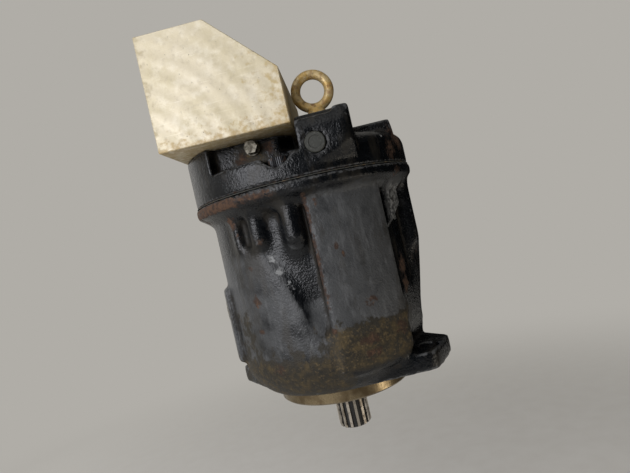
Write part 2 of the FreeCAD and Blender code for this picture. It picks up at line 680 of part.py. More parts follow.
# ---------------------------------------------------------------- rear cover
def cover_outside():
    """The cover's drum with its stepped pads and the lifting boss."""
    drum = turned("cover_drum", [
        ("0", "joint_z"),
        ("cover_r - 0.8", "joint_z"),
        ("cover_r", "joint_z + 0.8"),
        ("cover_r", "cover_step_z - 9"),
        ("cover_r - 1.5", "cover_step_z - 4"),
        ("cover_r - 6", "cover_step_z"),
        ("0", "cover_step_z"),
    ])
    front_step = slab("front_step", [
        ("-66", "seat_front - 12"),
        ("-62", "seat_front"),
        ("boss_x + 1", "seat_front"),
        ("boss_x + 1", "-cover_r - 5"),
        ("-66", "-cover_r - 5"),
    ], "front_step_z", "20")
    lowered = cut("lowered_drum", drum, [front_step])
    limit = rod("pad_limit", "cover_r", "60", z="joint_z")
    block_pad = slab("block_pad", [
        ("-66", "seat_front - 12"),
        ("-62", "seat_front"),
        ("block_x + block_w - 17", "seat_front"),
        ("block_x + block_w - 5", "seat_front + 14"),
        ("block_x + block_w - 5", "block_y + block_d - 3"),
        ("-cover_r", "block_y + block_d - 3"),
        ("-cover_r", "seat_front - 12"),
    ], "cover_step_z - 10", "cover_seat_z - cover_step_z + 10")
    seat = common("block_seat", [block_pad, limit])
    suction_pad = box(
        "suction_pad", "suction_x - suction_pitch_x / 2 - 11", "suction_y - suction_pitch_y / 2 - 11",
        "cover_step_z - 5", "suction_pitch_x + 22", "suction_pitch_y + 22", "suction_z - cover_step_z + 5")
    lug = slab("right_lug", [
        ("boss_x + boss_w - 5", "cover_step_z - 3"),
        ("boss_x + boss_w + 36", "cover_step_z - 3"),
        ("boss_x + boss_w + 33.5", "suction_z + 2"),
        ("boss_x + boss_w - 5", "suction_z + 2"),
    ], "-50", "30", role="XZ_Plane")
    right = common("right_seat", [fuse("right_pads", [suction_pad, lug]), limit])
    boss_blank = slab("boss_blank", [
        ("boss_x", "boss_front"),
        ("boss_x + boss_w - 7", "boss_front"),
        ("boss_x + boss_w - 2", "boss_front + 2"),
        ("boss_x + boss_w", "boss_front + 7"),
        ("boss_x + boss_w", "boss_back"),
        ("boss_x", "boss_back"),
    ], "joint_z + 4", "boss_z - joint_z - 4")
    boss_limit = turned("boss_limit", [
        ("0", "joint_z + 4"),
        ("cover_r", "joint_z + 4"),
        ("cover_r", "joint_z + 7"),
        ("cover_r + 16", "joint_z + 27"),
        ("cover_r + 16", "boss_z"),
        ("0", "boss_z"),
    ])
    lip = box("boss_lip_room", "boss_x - 1", "boss_front - 1", "boss_z - 4.5", "boss_w - 12", "12", "5")
    lean = slab("boss_lean", [
        ("boss_front - 1", "boss_z - 15"),
        ("boss_front + 5", "boss_z + 1"),
        ("boss_front - 1", "boss_z + 1"),
    ], "boss_x - 1", "boss_w + 2", role="YZ_Plane")
    boss = cut("lifting_boss", common("boss_body", [boss_blank, boss_limit]), [lip, lean])
    valve_seat = box("valve_seat", "-valve_half_w + 4", "60", "joint_z + 2", "2 * valve_half_w - 8", "valve_y - 60", "valve_low + valve_h - joint_z - 4")
    back = group("valve_seat_turned", [valve_seat], turn="kit_turn")
    return fuse("cover_solid", [lowered, seat, right, boss, back])


def make_cover():
    """Rear cover: kidney passages, both ports, bearing seat, screw pockets and threaded holes."""
    solid = cover_outside()
    tools = [rod("rear_seat", "rear_race_r", "rear_seat - joint_z + 1", z="joint_z - 1")]
    tools.append(rod("rear_room", "rear_journal_r + 6", "4", z="rear_seat"))

    low = s.joint_z - 1
    delivery = kidney(s.pitch_r, s.kidney_w, s.kit_turn + 180, s.delivery_span, low, 17)
    suction = kidney(s.pitch_r, s.kidney_w, s.kit_turn, s.suction_span, low, 24)
    tools.append(made("delivery_kidney", delivery))
    tools.append(made("suction_kidney", suction))
    tools.append(rod("delivery_bore", "delivery_r", "60", "delivery_x", "delivery_y", "joint_z + 12"))
    tools.append(rod("suction_bore", "suction_r", "40", "suction_x", "suction_y", "joint_z + 22.5"))

    for k in range(4):
        x, y = polar("joint_screw_ring", f"joint_screw_turn + {90 * k}")
        tools.append(rod("joint_clearance", "joint_screw_r + screw_gap", "80", x, y, "joint_z - 1"))
        tools.append(rod("joint_scallop", "scallop_r", "60", x, y, "joint_screw_floor"))
    x, y = polar("joint_screw_ring", "joint_screw_turn")
    tools.append(rod("front_mouth_cut", "mouth_r", "cover_r", x, f"{y} - cover_r - 4", "front_step_z - 8.5 + mouth_r", along="Y"))
    for i in range(2):
        for k in range(2):
            x = f"suction_x + ({i} - 0.5) * suction_pitch_x"
            y = f"suction_y + ({k} - 0.5) * suction_pitch_y"
            tools.append(rod("suction_thread", "joint_screw_r", "20", x, y, "suction_z - 17"))
            x = f"block_screw_x + {i} * block_pitch_x"
            y = f"block_screw_y + {k} * block_pitch_y"
            tools.append(rod("block_thread", "joint_screw_r + thread_gap", "30", x, y, "cover_seat_z - 22"))
    tools.append(rod("eye_thread", "4 + thread_gap", "20", "eye_x", "eye_y", "boss_z - 15"))
    tools.append(rod("gallery_thread", "4 + thread_gap", "20", "gallery_x", "seat_front - 5", "gallery_z", along="Y"))
    tools.append(rod("round_plug_hole", "plug_r + thread_gap", "20", "plug_x", "boss_front - 5", "plug_z", along="Y"))

    kit_tools = []
    for side, r in (("-", "guide_rod_r"), ("", "bias_rod_r")):
        kit_tools.append(rod("guide_thread", f"{r} + thread_gap", "14", y=f"{side}arm_reach", z="joint_z - 1"))
    kit_tools.append(rod("plate_pin_hole", "2.5 + thread_gap", "7", y="plate_pin_y", z="joint_z - 1"))
    for i in (-1, 1):
        for k in (-1, 1):
            x = f"{i} * valve_screw_x"
            z = f"spool_z + {k} * valve_screw_z"
            kit_tools.append(rod("valve_thread", "valve_screw_r + thread_gap", "14", x, "valve_y - 13", z, along="Y"))
    tools.append(group("kit_tools", kit_tools, turn="kit_turn"))
    return node("port_plate", cut("port_plate", solid, tools))


def make_joint_screws():
    """Four cap screws in open pockets that hold the cover on the case."""
    screws = []
    for k in range(4):
        x, y = polar("joint_screw_ring", f"joint_screw_turn + {90 * k}")
        screws.append(cap_screw("joint_screw", "joint_screw_r", "joint_screw_floor - joint_z + 13", x, y, "joint_screw_floor"))
    return node("joint_screws", group("joint_screws", screws))


def make_cover_plugs():
    """The round plug in the boss and the small hexagon plug in front of the block's seat."""
    face = turned("round_plug_body", [
        ("0", "0"),
        ("plug_r", "0"),
        ("plug_r", "5.6"),
        ("plug_r - 0.8", "6.4"),
        ("plug_r - 3", "6.4"),
        ("plug_r - 3.4", "5.9"),
        ("0", "5.9"),
    ])
    place(face, "plug_x", "boss_front + 5", "plug_z", along="Y")
    face.Placement.Rotation = FreeCAD.Rotation(V(1, 0, 0), 90)
    node("round_plug", group("round_plug", [face]))
    head = hexagon("gallery_head", "10", "8", "gallery_x", "seat_front - 9.5", "gallery_z", along="Y")
    washer = rod("gallery_flange", "6.2", "1.5", "gallery_x", "seat_front - 1.5", "gallery_z", along="Y")
    thread = rod("gallery_shank", "4", "10", "gallery_x", "seat_front", "gallery_z", along="Y")
    return node("gallery_plug", fuse("gallery_plug", [head, washer, thread]))


def make_eye():
    """Lifting eye: ring, collar and threaded shank."""
    ring = doc.addObject("Part::Torus", "eye_ring")
    bind(ring, "Radius1", "eye_hole_r + eye_wire_r")
    bind(ring, "Radius2", "eye_wire_r")
    place(ring, "eye_x", "eye_y", "boss_z + 4 + eye_hole_r + 2 * eye_wire_r", along="Y")
    collar = cone("eye_collar", "10", "6.5", "7", "eye_x", "eye_y", "boss_z")
    shank = rod("eye_shank", "4", "14", "eye_x", "eye_y", "boss_z - 13")
    return node("lifting_eye", fuse("lifting_eye", [ring, collar, shank]))


# ---------------------------------------------------------------- port block
def make_block():
    """Block with one chamfered corner; its delivery passage turns from the seat to the left face."""
    body = slab("block_body", [
        ("block_x", "cover_seat_z"),
        ("block_x + block_w", "cover_seat_z"),
        ("block_x + block_w", "cover_seat_z + block_h - block_cut"),
        ("block_x + block_w - block_cut", "cover_seat_z + block_h"),
        ("block_x", "cover_seat_z + block_h"),
    ], "block_y", "block_d", role="XZ_Plane")
    doc.recompute()
    pad = body.Tip
    softened = body.newObject("PartDesign::Chamfer", "block_edges")
    softened.Base = (pad, [f"Edge{k}" for k in range(1, len(pad.Shape.Edges) + 1)])
    bind(softened, "Size", "block_edge")

    upright = rod("block_rise", "delivery_r", "outlet_z - cover_seat_z + delivery_r", "delivery_x", "delivery_y", "cover_seat_z - 1")
    across = rod("block_outlet", "delivery_r", "delivery_x - block_x + 1", "block_x - 1", "delivery_y", "outlet_z", along="X")
    groove = cut("block_ring_groove", rod("groove_outer", "delivery_r + 6", "2.1", "delivery_x", "delivery_y", "cover_seat_z"),
                 [rod("groove_inner", "delivery_r + 2.4", "3", "delivery_x", "delivery_y", "cover_seat_z - 0.5")])
    tools = [upright, across, groove]
    for i in range(2):
        for k in range(2):
            x = f"block_screw_x + {i} * block_pitch_x"
            y = f"block_screw_y + {k} * block_pitch_y"
            head_z = "block_head_low" if i else "block_head_high"
            tools.append(rod("block_hole", "joint_screw_r + 0.75", "block_h + 2", x, y, "cover_seat_z - 1"))
            tools.append(rod("block_counterbore", "joint_screw_r * 1.5 + 1", "block_h", x, y, head_z))
            y = f"delivery_y + ({i} - 0.5) * outlet_pitch_y"
            z = f"outlet_z + ({k} - 0.5) * outlet_pitch_z"
            tools.append(rod("outlet_thread", "outlet_bolt_r", "19", "block_x - 1", y, z, along="X"))
    return node("port_block", cut("port_block", body, tools))


def make_block_fasteners():
    """Four cap screws through the block, and the O-ring under it."""
    screws = []
    for i in range(2):
        for k in range(2):
            x = f"block_screw_x + {i} * block_pitch_x"
            y = f"block_screw_y + {k} * block_pitch_y"
            head_z = "block_head_low" if i else "block_head_high"
            screws.append(cap_screw("block_screw", "joint_screw_r", f"{head_z} - cover_seat_z + 19", x, y, head_z))
    node("block_screws", group("block_screws", screws))
    ring = doc.addObject("Part::Torus", "block_o_ring")
    bind(ring, "Radius1", "delivery_r + 4.2")
    bind(ring, "Radius2", "1.05")
    place(ring, "delivery_x", "delivery_y", "cover_seat_z + 1.05")
    return node("block_o_ring", ring)


# ---------------------------------------------------------------- rotating group
def piston_turns():
    """The angle of each piston in the kit frame."""
    count = int(s.piston_count)
    return [s.first_piston + 360 * k / count for k in range(count)]


def make_valve_plate():
    """Valve plate between barrel and cover: a long suction kidney, three delivery slots, a pin hole."""
    disc = rod("valve_disc", "valve_plate_r", "valve_plate_t", z="joint_z - valve_plate_t")
    low = s.joint_z - s.valve_plate_t - 1
    high = s.valve_plate_t + 2
    tools = [rod("valve_centre", "rear_race_r", "valve_plate_t + 2", z="joint_z - valve_plate_t - 1")]
    tools.append(made("valve_suction", kidney(s.pitch_r, s.kidney_w, s.kit_turn, s.suction_span, low, high)))
    for k in range(3):
        slot = kidney(s.pitch_r, s.kidney_w - 1.5, s.kit_turn + 180 + (k - 1) * 36, 17, low, high)
        tools.append(made("valve_delivery", slot))
    pin = rod("valve_pin_hole", "2.5 + thread_gap", "valve_plate_t + 2", y="plate_pin_y", z="joint_z - valve_plate_t - 1")
    tools.append(group("valve_pin_turned", [pin], turn="kit_turn"))
    node("valve_plate", cut("valve_plate", disc, tools))
    dowel = rod("plate_pin", "2.5", "valve_plate_t + 4.5", y="plate_pin_y", z="joint_z - valve_plate_t + 0.5")
    return node("valve_plate_pin", group("valve_plate_pin", [dowel], turn="kit_turn"))


def make_barrel():
    """Cylinder barrel: bores with kidney openings, spring chamber, drive spline, hold-down pin holes."""
    blank = turned("barrel_blank", [
        ("drive_tip_r + drive_gap", "barrel_z"),
        ("barrel_r - 2", "barrel_z"),
        ("barrel_r", "barrel_z + 2"),
        ("barrel_r", "barrel_end - 8"),
        ("barrel_r - 2.5", "barrel_end - 5.5"),
        ("barrel_r - 2.5", "barrel_end"),
        ("chamber_r + 2", "barrel_end"),
        ("chamber_r + 2", "barrel_end - 3"),
        ("chamber_r", "barrel_end - 5"),
        ("chamber_r", "chamber_z + 31"),
        ("chamber_r + 1.5", "chamber_z + 31"),
        ("chamber_r + 1.5", "chamber_z + 29"),
        ("chamber_r", "chamber_z + 29"),
        ("chamber_r", "chamber_z"),
        ("drive_tip_r + drive_gap", "chamber_z"),
    ])
    tools = []
    for turn in piston_turns():
        x, y = polar("pitch_r", turn)
        tools.append(rod("cylinder_bore", "bore_r", "bore_end - barrel_z + 1", x, y, "barrel_z - 1"))
        opening = kidney(s.pitch_r, s.kidney_w, turn, 14, s.bore_end - 1, s.barrel_end - s.bore_end + 2)
        tools.append(made("barrel_kidney", opening))
    for k in range(3):
        x, y = polar("hold_pin_ring", 90 + 120 * k)
        tools.append(rod("hold_pin_hole", "hold_pin_r + 0.15", "chamber_z - barrel_z + 2", x, y, "barrel_z - 1"))
    teeth = int(s.drive_teeth)
    grooves = splined(teeth, s.drive_root_r + 0.2, s.drive_tip_r + s.drive_gap + 1.6, 0.45, s.barrel_z - 1, s.chamber_z - s.barrel_z + 2)
    tools.append(made("barrel_spline", grooves))
    return node("cylinder_barrel", cut("cylinder_barrel", blank, tools, turn="kit_turn"))


def make_pistons():
    """One node for each piston: ball, neck, and a hollow body with its oil hole."""
    for k, turn in enumerate(piston_turns(), start=1):
        body = turned(f"piston_{k}_body", [
            ("oil_hole_r", "-ball_r * 0.2"),
            ("piston_neck_r", "-ball_r * 0.2"),
            ("piston_neck_r", "ball_r + 1.5"),
            ("bore_r - piston_gap - 2.5", "ball_r + 3"),
            ("bore_r - piston_gap", "ball_r + 5"),
            ("bore_r - piston_gap", "piston_len - 0.8"),
            ("bore_r - piston_gap - 0.8", "piston_len"),
            ("bore_r - 4.5", "piston_len"),
            ("bore_r - 4.5", "ball_r + 15"),
            ("oil_hole_r", "ball_r + 11"),
        ])
        head = cut(f"piston_{k}_ball", ball(f"piston_{k}_sphere", "ball_r"), [rod("ball_hole", "oil_hole_r", "2 * ball_r + 2", z="-ball_r - 1")])
        piston = fuse(f"piston_{k}_solid", [head, body])
        x, y = polar("pitch_r", turn)
        place(piston, x, y, f"tilt_z - pitch_r * sin({turn}) * tan(rest_tilt)")
        node(f"piston_{k}", group(f"piston_{k}", [piston], turn="kit_turn"))


def make_slippers():
    """One node for each slipper: foot, oil pocket and a socket that holds the piston ball."""
    for k, turn in enumerate(piston_turns(), start=1):
        low = "-face_drop + slipper_gap"
        shoe = turned(f"slipper_{k}_body", [
            ("slipper_foot_r * 0.62", low),
            ("slipper_foot_r", low),
            ("slipper_foot_r", f"{low} + slipper_foot_t"),
            ("slipper_body_r", f"{low} + slipper_foot_t"),
            ("slipper_body_r", "slipper_top - 1.5"),
            ("slipper_body_r - 0.8", "slipper_top"),
            ("oil_hole_r", "slipper_top"),
            ("oil_hole_r", f"{low} + 0.8"),
            ("slipper_foot_r * 0.62", f"{low} + 0.8"),
        ])
        socket = ball(f"slipper_{k}_socket", "ball_r + ball_gap")
        shoe = cut(f"slipper_{k}_solid", shoe, [socket])
        x, y = polar("pitch_r", turn)
        place(shoe, x, y, f"tilt_z - pitch_r * sin({turn}) * tan(rest_tilt)")
        shoe.Placement.Rotation = FreeCAD.Rotation(V(-1, 0, 0), 1)
        bind(shoe, "Placement.Rotation.Angle", "rest_tilt")
        node(f"slipper_{k}", group(f"slipper_{k}", [shoe], turn="kit_turn"))


def tilted(name, item):
    """Tips a part about the kit's X axis through the tilt centre, to the rest pose."""
    item.Placement = FreeCAD.Placement(V(0, 0, 0), FreeCAD.Rotation(V(-1, 0, 0), 1))
    bind(item, "Placement.Rotation.Angle", "rest_tilt")
    bind(item, "Placement.Base.z", "tilt_z")
    return group(name, [item], turn="kit_turn")


def make_retainer():
    """Retainer plate: nine clearance holes around the slippers and a seat on the retainer ball."""
    low = "-face_drop + slipper_gap + slipper_foot_t + retainer_gap"
    disc = rod("retainer_disc", "retainer_r", "retainer_t", z=low)
    tools = [ball("retainer_seat", "dome_r + 0.2")]
    for turn in piston_turns():
        x, y = polar("pitch_r * 1.012", turn)
        tools.append(rod("retainer_hole", "retainer_hole_r", "retainer_t + 2", x, y, f"{low} - 1"))
    node("retainer_plate", tilted("retainer_plate", cut("retainer_cut", disc, tools)))

    dome = ball("dome", "dome_r", z="tilt_z")
    slice_ = rod("dome_slice", "dome_r + 1", "dome_up + dome_down", z="tilt_z - dome_down")
    bore = rod("dome_bore", "drive_tip_r + drive_gap", "3 * dome_r", z="tilt_z - dome_r")
    return node("retainer_ball", cut("retainer_ball", common("dome_zone", [dome, slice_]), [bore]))


def make_hold_down():
    """Barrel spring with its two washers, retaining ring and three pins that press on the retainer ball."""
    pins = []
    for k in range(3):
        x, y = polar("hold_pin_ring", 90 + 120 * k)
        pins.append(rod("hold_pin", "hold_pin_r", "chamber_z - tilt_z - dome_up", x, y, "tilt_z + dome_up"))
    node("hold_down_pins", group("hold_down_pins", pins, turn="kit_turn"))
    front = cut("front_washer", rod("front_washer_disc", "chamber_r - 0.2", "2.5", z="chamber_z"),
                [rod("front_washer_hole", "drive_tip_r + drive_gap", "4", z="chamber_z - 1")])
    rear = cut("rear_washer", rod("rear_washer_disc", "chamber_r - 0.2", "2.5", z="chamber_z + 26.5"),
               [rod("rear_washer_hole", "drive_tip_r + drive_gap", "4", z="chamber_z + 25")])
    node("barrel_spring", made("barrel_spring", coil(s.chamber_r - 3, 1.9, s.chamber_z + 2.5, s.chamber_z + 26.5, 4.5)))
    ring = cut("barrel_ring", rod("barrel_ring_disc", "chamber_r + 1.3", "1.8", z="chamber_z + 29.1"),
               [rod("barrel_ring_hole", "chamber_r - 3.5", "4", z="chamber_z + 28"),
                box("barrel_ring_gap", "-3", "0", "chamber_z + 28", "6", "40", "4")])
    return node("spring_washers", group("spring_washers", [front, rear, ring]))


# ---------------------------------------------------------------- swashplate and its bearings
def make_swash():
    """Swashplate: running face, two bearing arcs, two tilt arms and the room for the shaft."""
    disc = rod("swash_disc", "swash_r", "swash_t", z="-face_drop - swash_t")
    arcs = []
    for low_x in ("cradle_in", "-cradle_in - cradle_w"):
        arc = rod("cradle_arc", "cradle_r", "cradle_w", x=low_x, along="X")
        arcs.append(arc)
    below = box("cradle_zone", "-cavity_r", "-cavity_r", "-saddle_r - 5", "2 * cavity_r", "2 * cavity_r", "saddle_r + 5 - face_drop")
    cradles = common("cradles", [group("cradle_arcs", arcs), below])
    arms = []
    for side in (-1, 1):
        y = "-arm_reach - 6" if side < 0 else "swash_r - 12"
        arm = box("tilt_arm", "-arm_half_w", y, "-nose_r - nose_gap - 9.5", "2 * arm_half_w", "arm_reach + 18 - swash_r", "9.5")
        arms.append(arm)
    inner = rod("arm_clear", "swash_r - 0.5", "face_drop", z="-face_drop")
    trimmed = cut("tilt_arms", group("arm_pair", arms), [inner])
    front_room = Part.makeLoft([
        oblong(s.journal_r + 7, s.journal_r + 8, -s.face_drop + 1),
        oblong(s.journal_r + 6, s.journal_r + 18, -s.saddle_r),
    ], True)
    room = made("shaft_passage", front_room)
    solid = fuse("swash_blank", [disc, cradles, trimmed])
    return node("swash_plate", tilted("swash_plate", cut("swash_cut", solid, [room])))


def oblong(half_x, half_y, z):
    """An ellipse-like closed wire: the shape the shaft needs as the swashplate tilts around it."""
    curve = Part.Ellipse(V(0, half_y, z), V(half_x, 0, z), V(0, 0, z))
    return Part.Wire([curve.toShape()])


def saddle_angles():
    """Positions of the needles in one saddle bearing, from straight down, half a tilt round."""
    return [-35 + 7 * k - s.rest_tilt / 2 for k in range(11)]


def make_saddle_bearings():
    """Two saddle bearings: curved cages with eleven needles each, placed half a tilt round."""
    middle = (s.cradle_r + s.saddle_r) / 2
    needles = []
    bars = []
    for low_x in (s.cradle_in + 1, -s.cradle_in - s.cradle_w + 1):
        width = s.cradle_w - 2
        strip = Part.makeCylinder(middle + 0.6, width, V(low_x, 0, 0), V(1, 0, 0))
        strip = strip.cut(Part.makeCylinder(middle - 0.6, width + 2, V(low_x - 1, 0, 0), V(1, 0, 0)))
        corners = [V(low_x - 1, 0, 0)]
        for angle in (-39 - s.rest_tilt / 2, 39 - s.rest_tilt / 2):
            corners.append(V(low_x - 1, 2 * middle * math.tan(math.radians(angle)), -2 * middle))
        wedge = Part.Face(Part.makePolygon(corners + corners[:1])).extrude(V(width + 2, 0, 0))
        strip = strip.common(wedge)
        for angle in saddle_angles():
            y = middle * math.sin(math.radians(angle))
            z = -middle * math.cos(math.radians(angle))
            needle = Part.makeCylinder(s.needle_r, width - 3, V(low_x + 1.5, y, z), V(1, 0, 0))
            needles.append(needle)
            window = Part.makeCylinder(s.needle_r + 0.1, width - 2.6, V(low_x + 1.3, y, z), V(1, 0, 0))
            strip = strip.cut(window)
        bars.append(strip)
    item = place(made("saddle_shapes", Part.makeCompound(needles + bars)), z="tilt_z")
    return node("saddle_bearings", group("saddle_bearings", [item], turn="kit_turn"))


# ---------------------------------------------------------------- control and bias pistons
def actuator(prefix, side, rod_r, skirt_r, foot_r, guide_low):
    """A round-nosed sleeve that slides on a rod screwed into the cover; side is -1 or 1 along the kit's Y."""
    sleeve = turned(f"{prefix}_sleeve", [
        ("0", "nose_r * 0.5"),
        ("nose_r * 0.8", "nose_r * 0.6"),
        (foot_r, "nose_r + 1"),
        (foot_r, "nose_r + 4"),
        (skirt_r, "nose_r + 4"),
        (skirt_r, "sleeve_len"),
        (f"{rod_r} + sleeve_gap", "sleeve_len"),
        (f"{rod_r} + sleeve_gap", "nose_r + 6"),
        ("0", "nose_r + 6"),
    ])
    solid = fuse(f"{prefix}_solid", [sleeve, ball(f"{prefix}_nose", "nose_r")])
    place(solid, y=f"{side} * arm_reach", z=f"tilt_z - ({side}) * arm_reach * tan(rest_tilt)")
    guide = turned(f"{prefix}_guide_body", [
        ("0", guide_low),
        (f"{rod_r} - 1", guide_low),
        (rod_r, f"{guide_low} + 1"),
        (rod_r, "joint_z + 11"),
        ("0", "joint_z + 11"),
    ])
    place(guide, y=f"{side} * arm_reach")
    return group(f"{prefix}_group", [solid], turn="kit_turn"), group(f"{prefix}_guide", [guide], turn="kit_turn")


def make_actuators():
    """Control piston on the delivery side, bias piston with its spring opposite, and their guide rods."""
    piston, guide = actuator("control", -1, "guide_rod_r", "guide_rod_r + 4", "guide_rod_r + 4.6", "joint_z - 64")
    node("control_piston", piston)
    node("control_guide_rod", guide)
    piston, guide = actuator("bias", 1, "bias_rod_r", "bias_rod_r + 2.2", "bias_rod_r + 6", "joint_z - 76")
    node("bias_piston", piston)
    node("bias_guide_rod", guide)
    low = s.tilt_z - s.arm_reach * math.tan(math.radians(s.rest_tilt)) + s.nose_r + 4
    spring = made("bias_coil", coil(s.bias_rod_r + 4.3, 1.6, low, s.joint_z, 9))
    place(spring, y="arm_reach")
    return node("bias_spring", group("bias_spring", [spring], turn="kit_turn"))


# ---------------------------------------------------------------- shaft and its bearings
def make_shaft():
    """Drive shaft: splined end, seal journal, bearing seats and the drive spline inside the barrel."""
    core = turned("shaft_core", [
        ("0", "-shaft_end"),
        ("coupling_root_r - 1", "-shaft_end"),
        ("coupling_root_r", "-shaft_end + 1"),
        ("coupling_root_r", "-15"),
        ("journal_r - 0.7", "-15"),
        ("journal_r", "-14.3"),
        ("journal_r", "front_z + front_w"),
        ("shaft_rib_r - 0.4", "front_z + front_w"),
        ("shaft_rib_r - 0.4", "front_z + front_w + 4"),
        ("journal_r", "front_z + front_w + 6"),
        ("journal_r", "tilt_z - 25"),
        ("drive_tip_r", "tilt_z - 24"),
        ("drive_tip_r", "barrel_z - 4"),
        ("drive_root_r", "barrel_z - 2"),
        ("drive_root_r", "joint_z - 8"),
        ("drive_tip_r", "joint_z - 6"),
        ("drive_tip_r", "rear_seat - rear_w"),
        ("rear_journal_r", "rear_seat - rear_w"),
        ("rear_journal_r", "rear_seat - 0.6"),
        ("rear_journal_r - 0.6", "rear_seat"),
        ("0", "rear_seat"),
    ])
    teeth = splined(int(s.coupling_teeth), s.coupling_root_r - 0.4, s.coupling_tip_r, 0.36, -s.shaft_end + 0.8, s.shaft_end - 17)
    tips = turned("coupling_tips", [
        ("0", "-shaft_end"),
        ("coupling_root_r + 0.2", "-shaft_end"),
        ("coupling_tip_r", "-shaft_end + 1.8"),
        ("coupling_tip_r", "-18.5"),
        ("coupling_root_r + 0.4", "-16.5"),
        ("0", "-16.5"),
    ])
    coupling = common("coupling_spline", [made("coupling_teeth_shape", teeth), tips])
    drive = made("drive_teeth_shape", splined(int(s.drive_teeth), s.drive_root_r - 0.4, s.drive_tip_r, 0.4, s.barrel_z - 3, s.chamber_z - s.barrel_z + 5))
    centre = cone("centre_hole", "2.4", "0.4", "5", z="-shaft_end - 0.01")
    return node("drive_shaft", cut("drive_shaft", fuse("shaft_solid", [core, coupling, drive]), [centre]))


def make_bearing(prefix, bore, race, width, rollers, seat, flip):
    """A tapered roller bearing: cup, cone, and its rollers in their cage. Rollers open away from the seat."""
    pitch = f"(({bore} + {race}) / 2 - 0.1)"
    middle = f"({width} * 0.45)"
    apex = f"({middle} - {pitch} / tan(roller_tilt))"
    outer = f"tan(roller_tilt + roller_half) + race_gap"
    inner = f"tan(roller_tilt - roller_half) - race_gap"
    cup = turned(f"{prefix}_cup_body", [
        (f"(0 - {apex}) * {outer}", "0"),
        (f"{race} - 1", "0"),
        (race, "1"),
        (race, f"{width} * 0.82"),
        (f"({width} * 0.82 - {apex}) * {outer}", f"{width} * 0.82"),
    ])
    ribs = turned(f"{prefix}_cone_body", [
        (bore, f"{width} * 0.07"),
        (f"({width} * 0.07 - {apex}) * {inner} + 1.2", f"{width} * 0.07"),
        (f"({width} * 0.07 - {apex}) * {inner} + 1.2", f"{width} * 0.1"),
        (f"({width} * 0.11 - {apex}) * {inner}", f"{width} * 0.11"),
        (f"({width} * 0.84 - {apex}) * {inner}", f"{width} * 0.84"),
        (f"({width} * 0.86 - {apex}) * {inner} + 2.6", f"{width} * 0.86"),
        (f"({width} - {apex}) * {inner} + 2.4", width),
        (bore, width),
    ])
    shapes = roller_shapes(prefix, rollers)
    items = {"cup": cup, "cone": ribs, "rollers": made(f"{prefix}_rollers_shape", shapes)}
    for part, item in items.items():
        item.Placement = FreeCAD.Placement(V(0, 0, 0), FreeCAD.Rotation(V(1, 0, 0), 180 if flip else 0))
        bind(item, "Placement.Base.z", seat)
        node(f"{prefix}_bearing_{part}", group(f"{prefix}_bearing_{part}", [item]))


def roller_shapes(prefix, rollers):
    """The tapered rollers of one bearing and the cage strip they sit in."""
    bore = s.journal_r if prefix == "front" else s.rear_journal_r
    race = s.front_race_r if prefix == "front" else s.rear_race_r
    width = s.front_w if prefix == "front" else s.rear_w
    pitch = (bore + race) / 2 - 0.1
    tilt = math.radians(s.roller_tilt)
    length = width * 0.66
    apex = pitch / math.sin(tilt)
    near = apex - length / 2
    spread = math.tan(math.radians(s.roller_half))
    apex_z = width * 0.45 - pitch / math.tan(tilt)
    strip_low = width * 0.09
    strip_high = width * 0.83

    def strip_r(z):
        return (z - apex_z) * math.tan(tilt) + 0.5

    corners = [
        V(strip_r(strip_low) - 0.6, 0, strip_low),
        V(strip_r(strip_low) + 0.6, 0, strip_low),
        V(strip_r(strip_high) + 0.6, 0, strip_high),
        V(strip_r(strip_high) - 0.6, 0, strip_high),
    ]
    cage = Part.Face(Part.makePolygon(corners + corners[:1])).revolve(V(0, 0, 0), UP, 360)
    parts = []
    windows = []
    for k in range(rollers):
        for gap, longer, store in ((-s.race_gap, 0, parts), (0.25, 0.3, windows)):
            start = near - longer
            end = near + length + longer
            roller = Part.makeCone(start * spread + gap, end * spread + gap, end - start, V(0, 0, start))
            roller.rotate(V(0, 0, 0), V(0, 1, 0), s.roller_tilt)
            roller.translate(V(0, 0, apex_z))
            roller.rotate(V(0, 0, 0), UP, 360 * k / rollers)
            store.append(roller)
    cage = cage.cut(Part.makeCompound(windows))
    return Part.makeCompound(parts + [cage])


def make_front_closure():
    """Shaft seal and the retaining ring that holds it."""
    seal = turned("seal_body", [
        ("journal_r + 0.05", "seal_z + 1.5"),
        ("journal_r + 2.5", "seal_z"),
        ("seal_r", "seal_z"),
        ("seal_r", "seal_z + seal_t"),
        ("seal_r - 2", "seal_z + seal_t"),
        ("seal_r - 2", "seal_z + 2.5"),
        ("journal_r + 4", "seal_z + 2.5"),
        ("journal_r + 3", "seal_z + seal_t - 1"),
        ("journal_r + 0.6", "seal_z + seal_t - 1"),
        ("journal_r + 0.05", "seal_z + seal_t - 3"),
    ])
    node("shaft_seal", group("shaft_seal", [seal]))
    disc = rod("retaining_disc", "ring_groove_r - 0.1", "ring_t", z="seal_z - ring_t")
    inner = rod("retaining_hole", "seal_r - 3.6", "ring_t + 2", z="seal_z - ring_t - 1")
    gap = box("retaining_gap", "-4", "0", "seal_z - ring_t - 1", "8", "60", "ring_t + 2")
    return node("retaining_ring", cut("retaining_ring", disc, [inner, gap]))


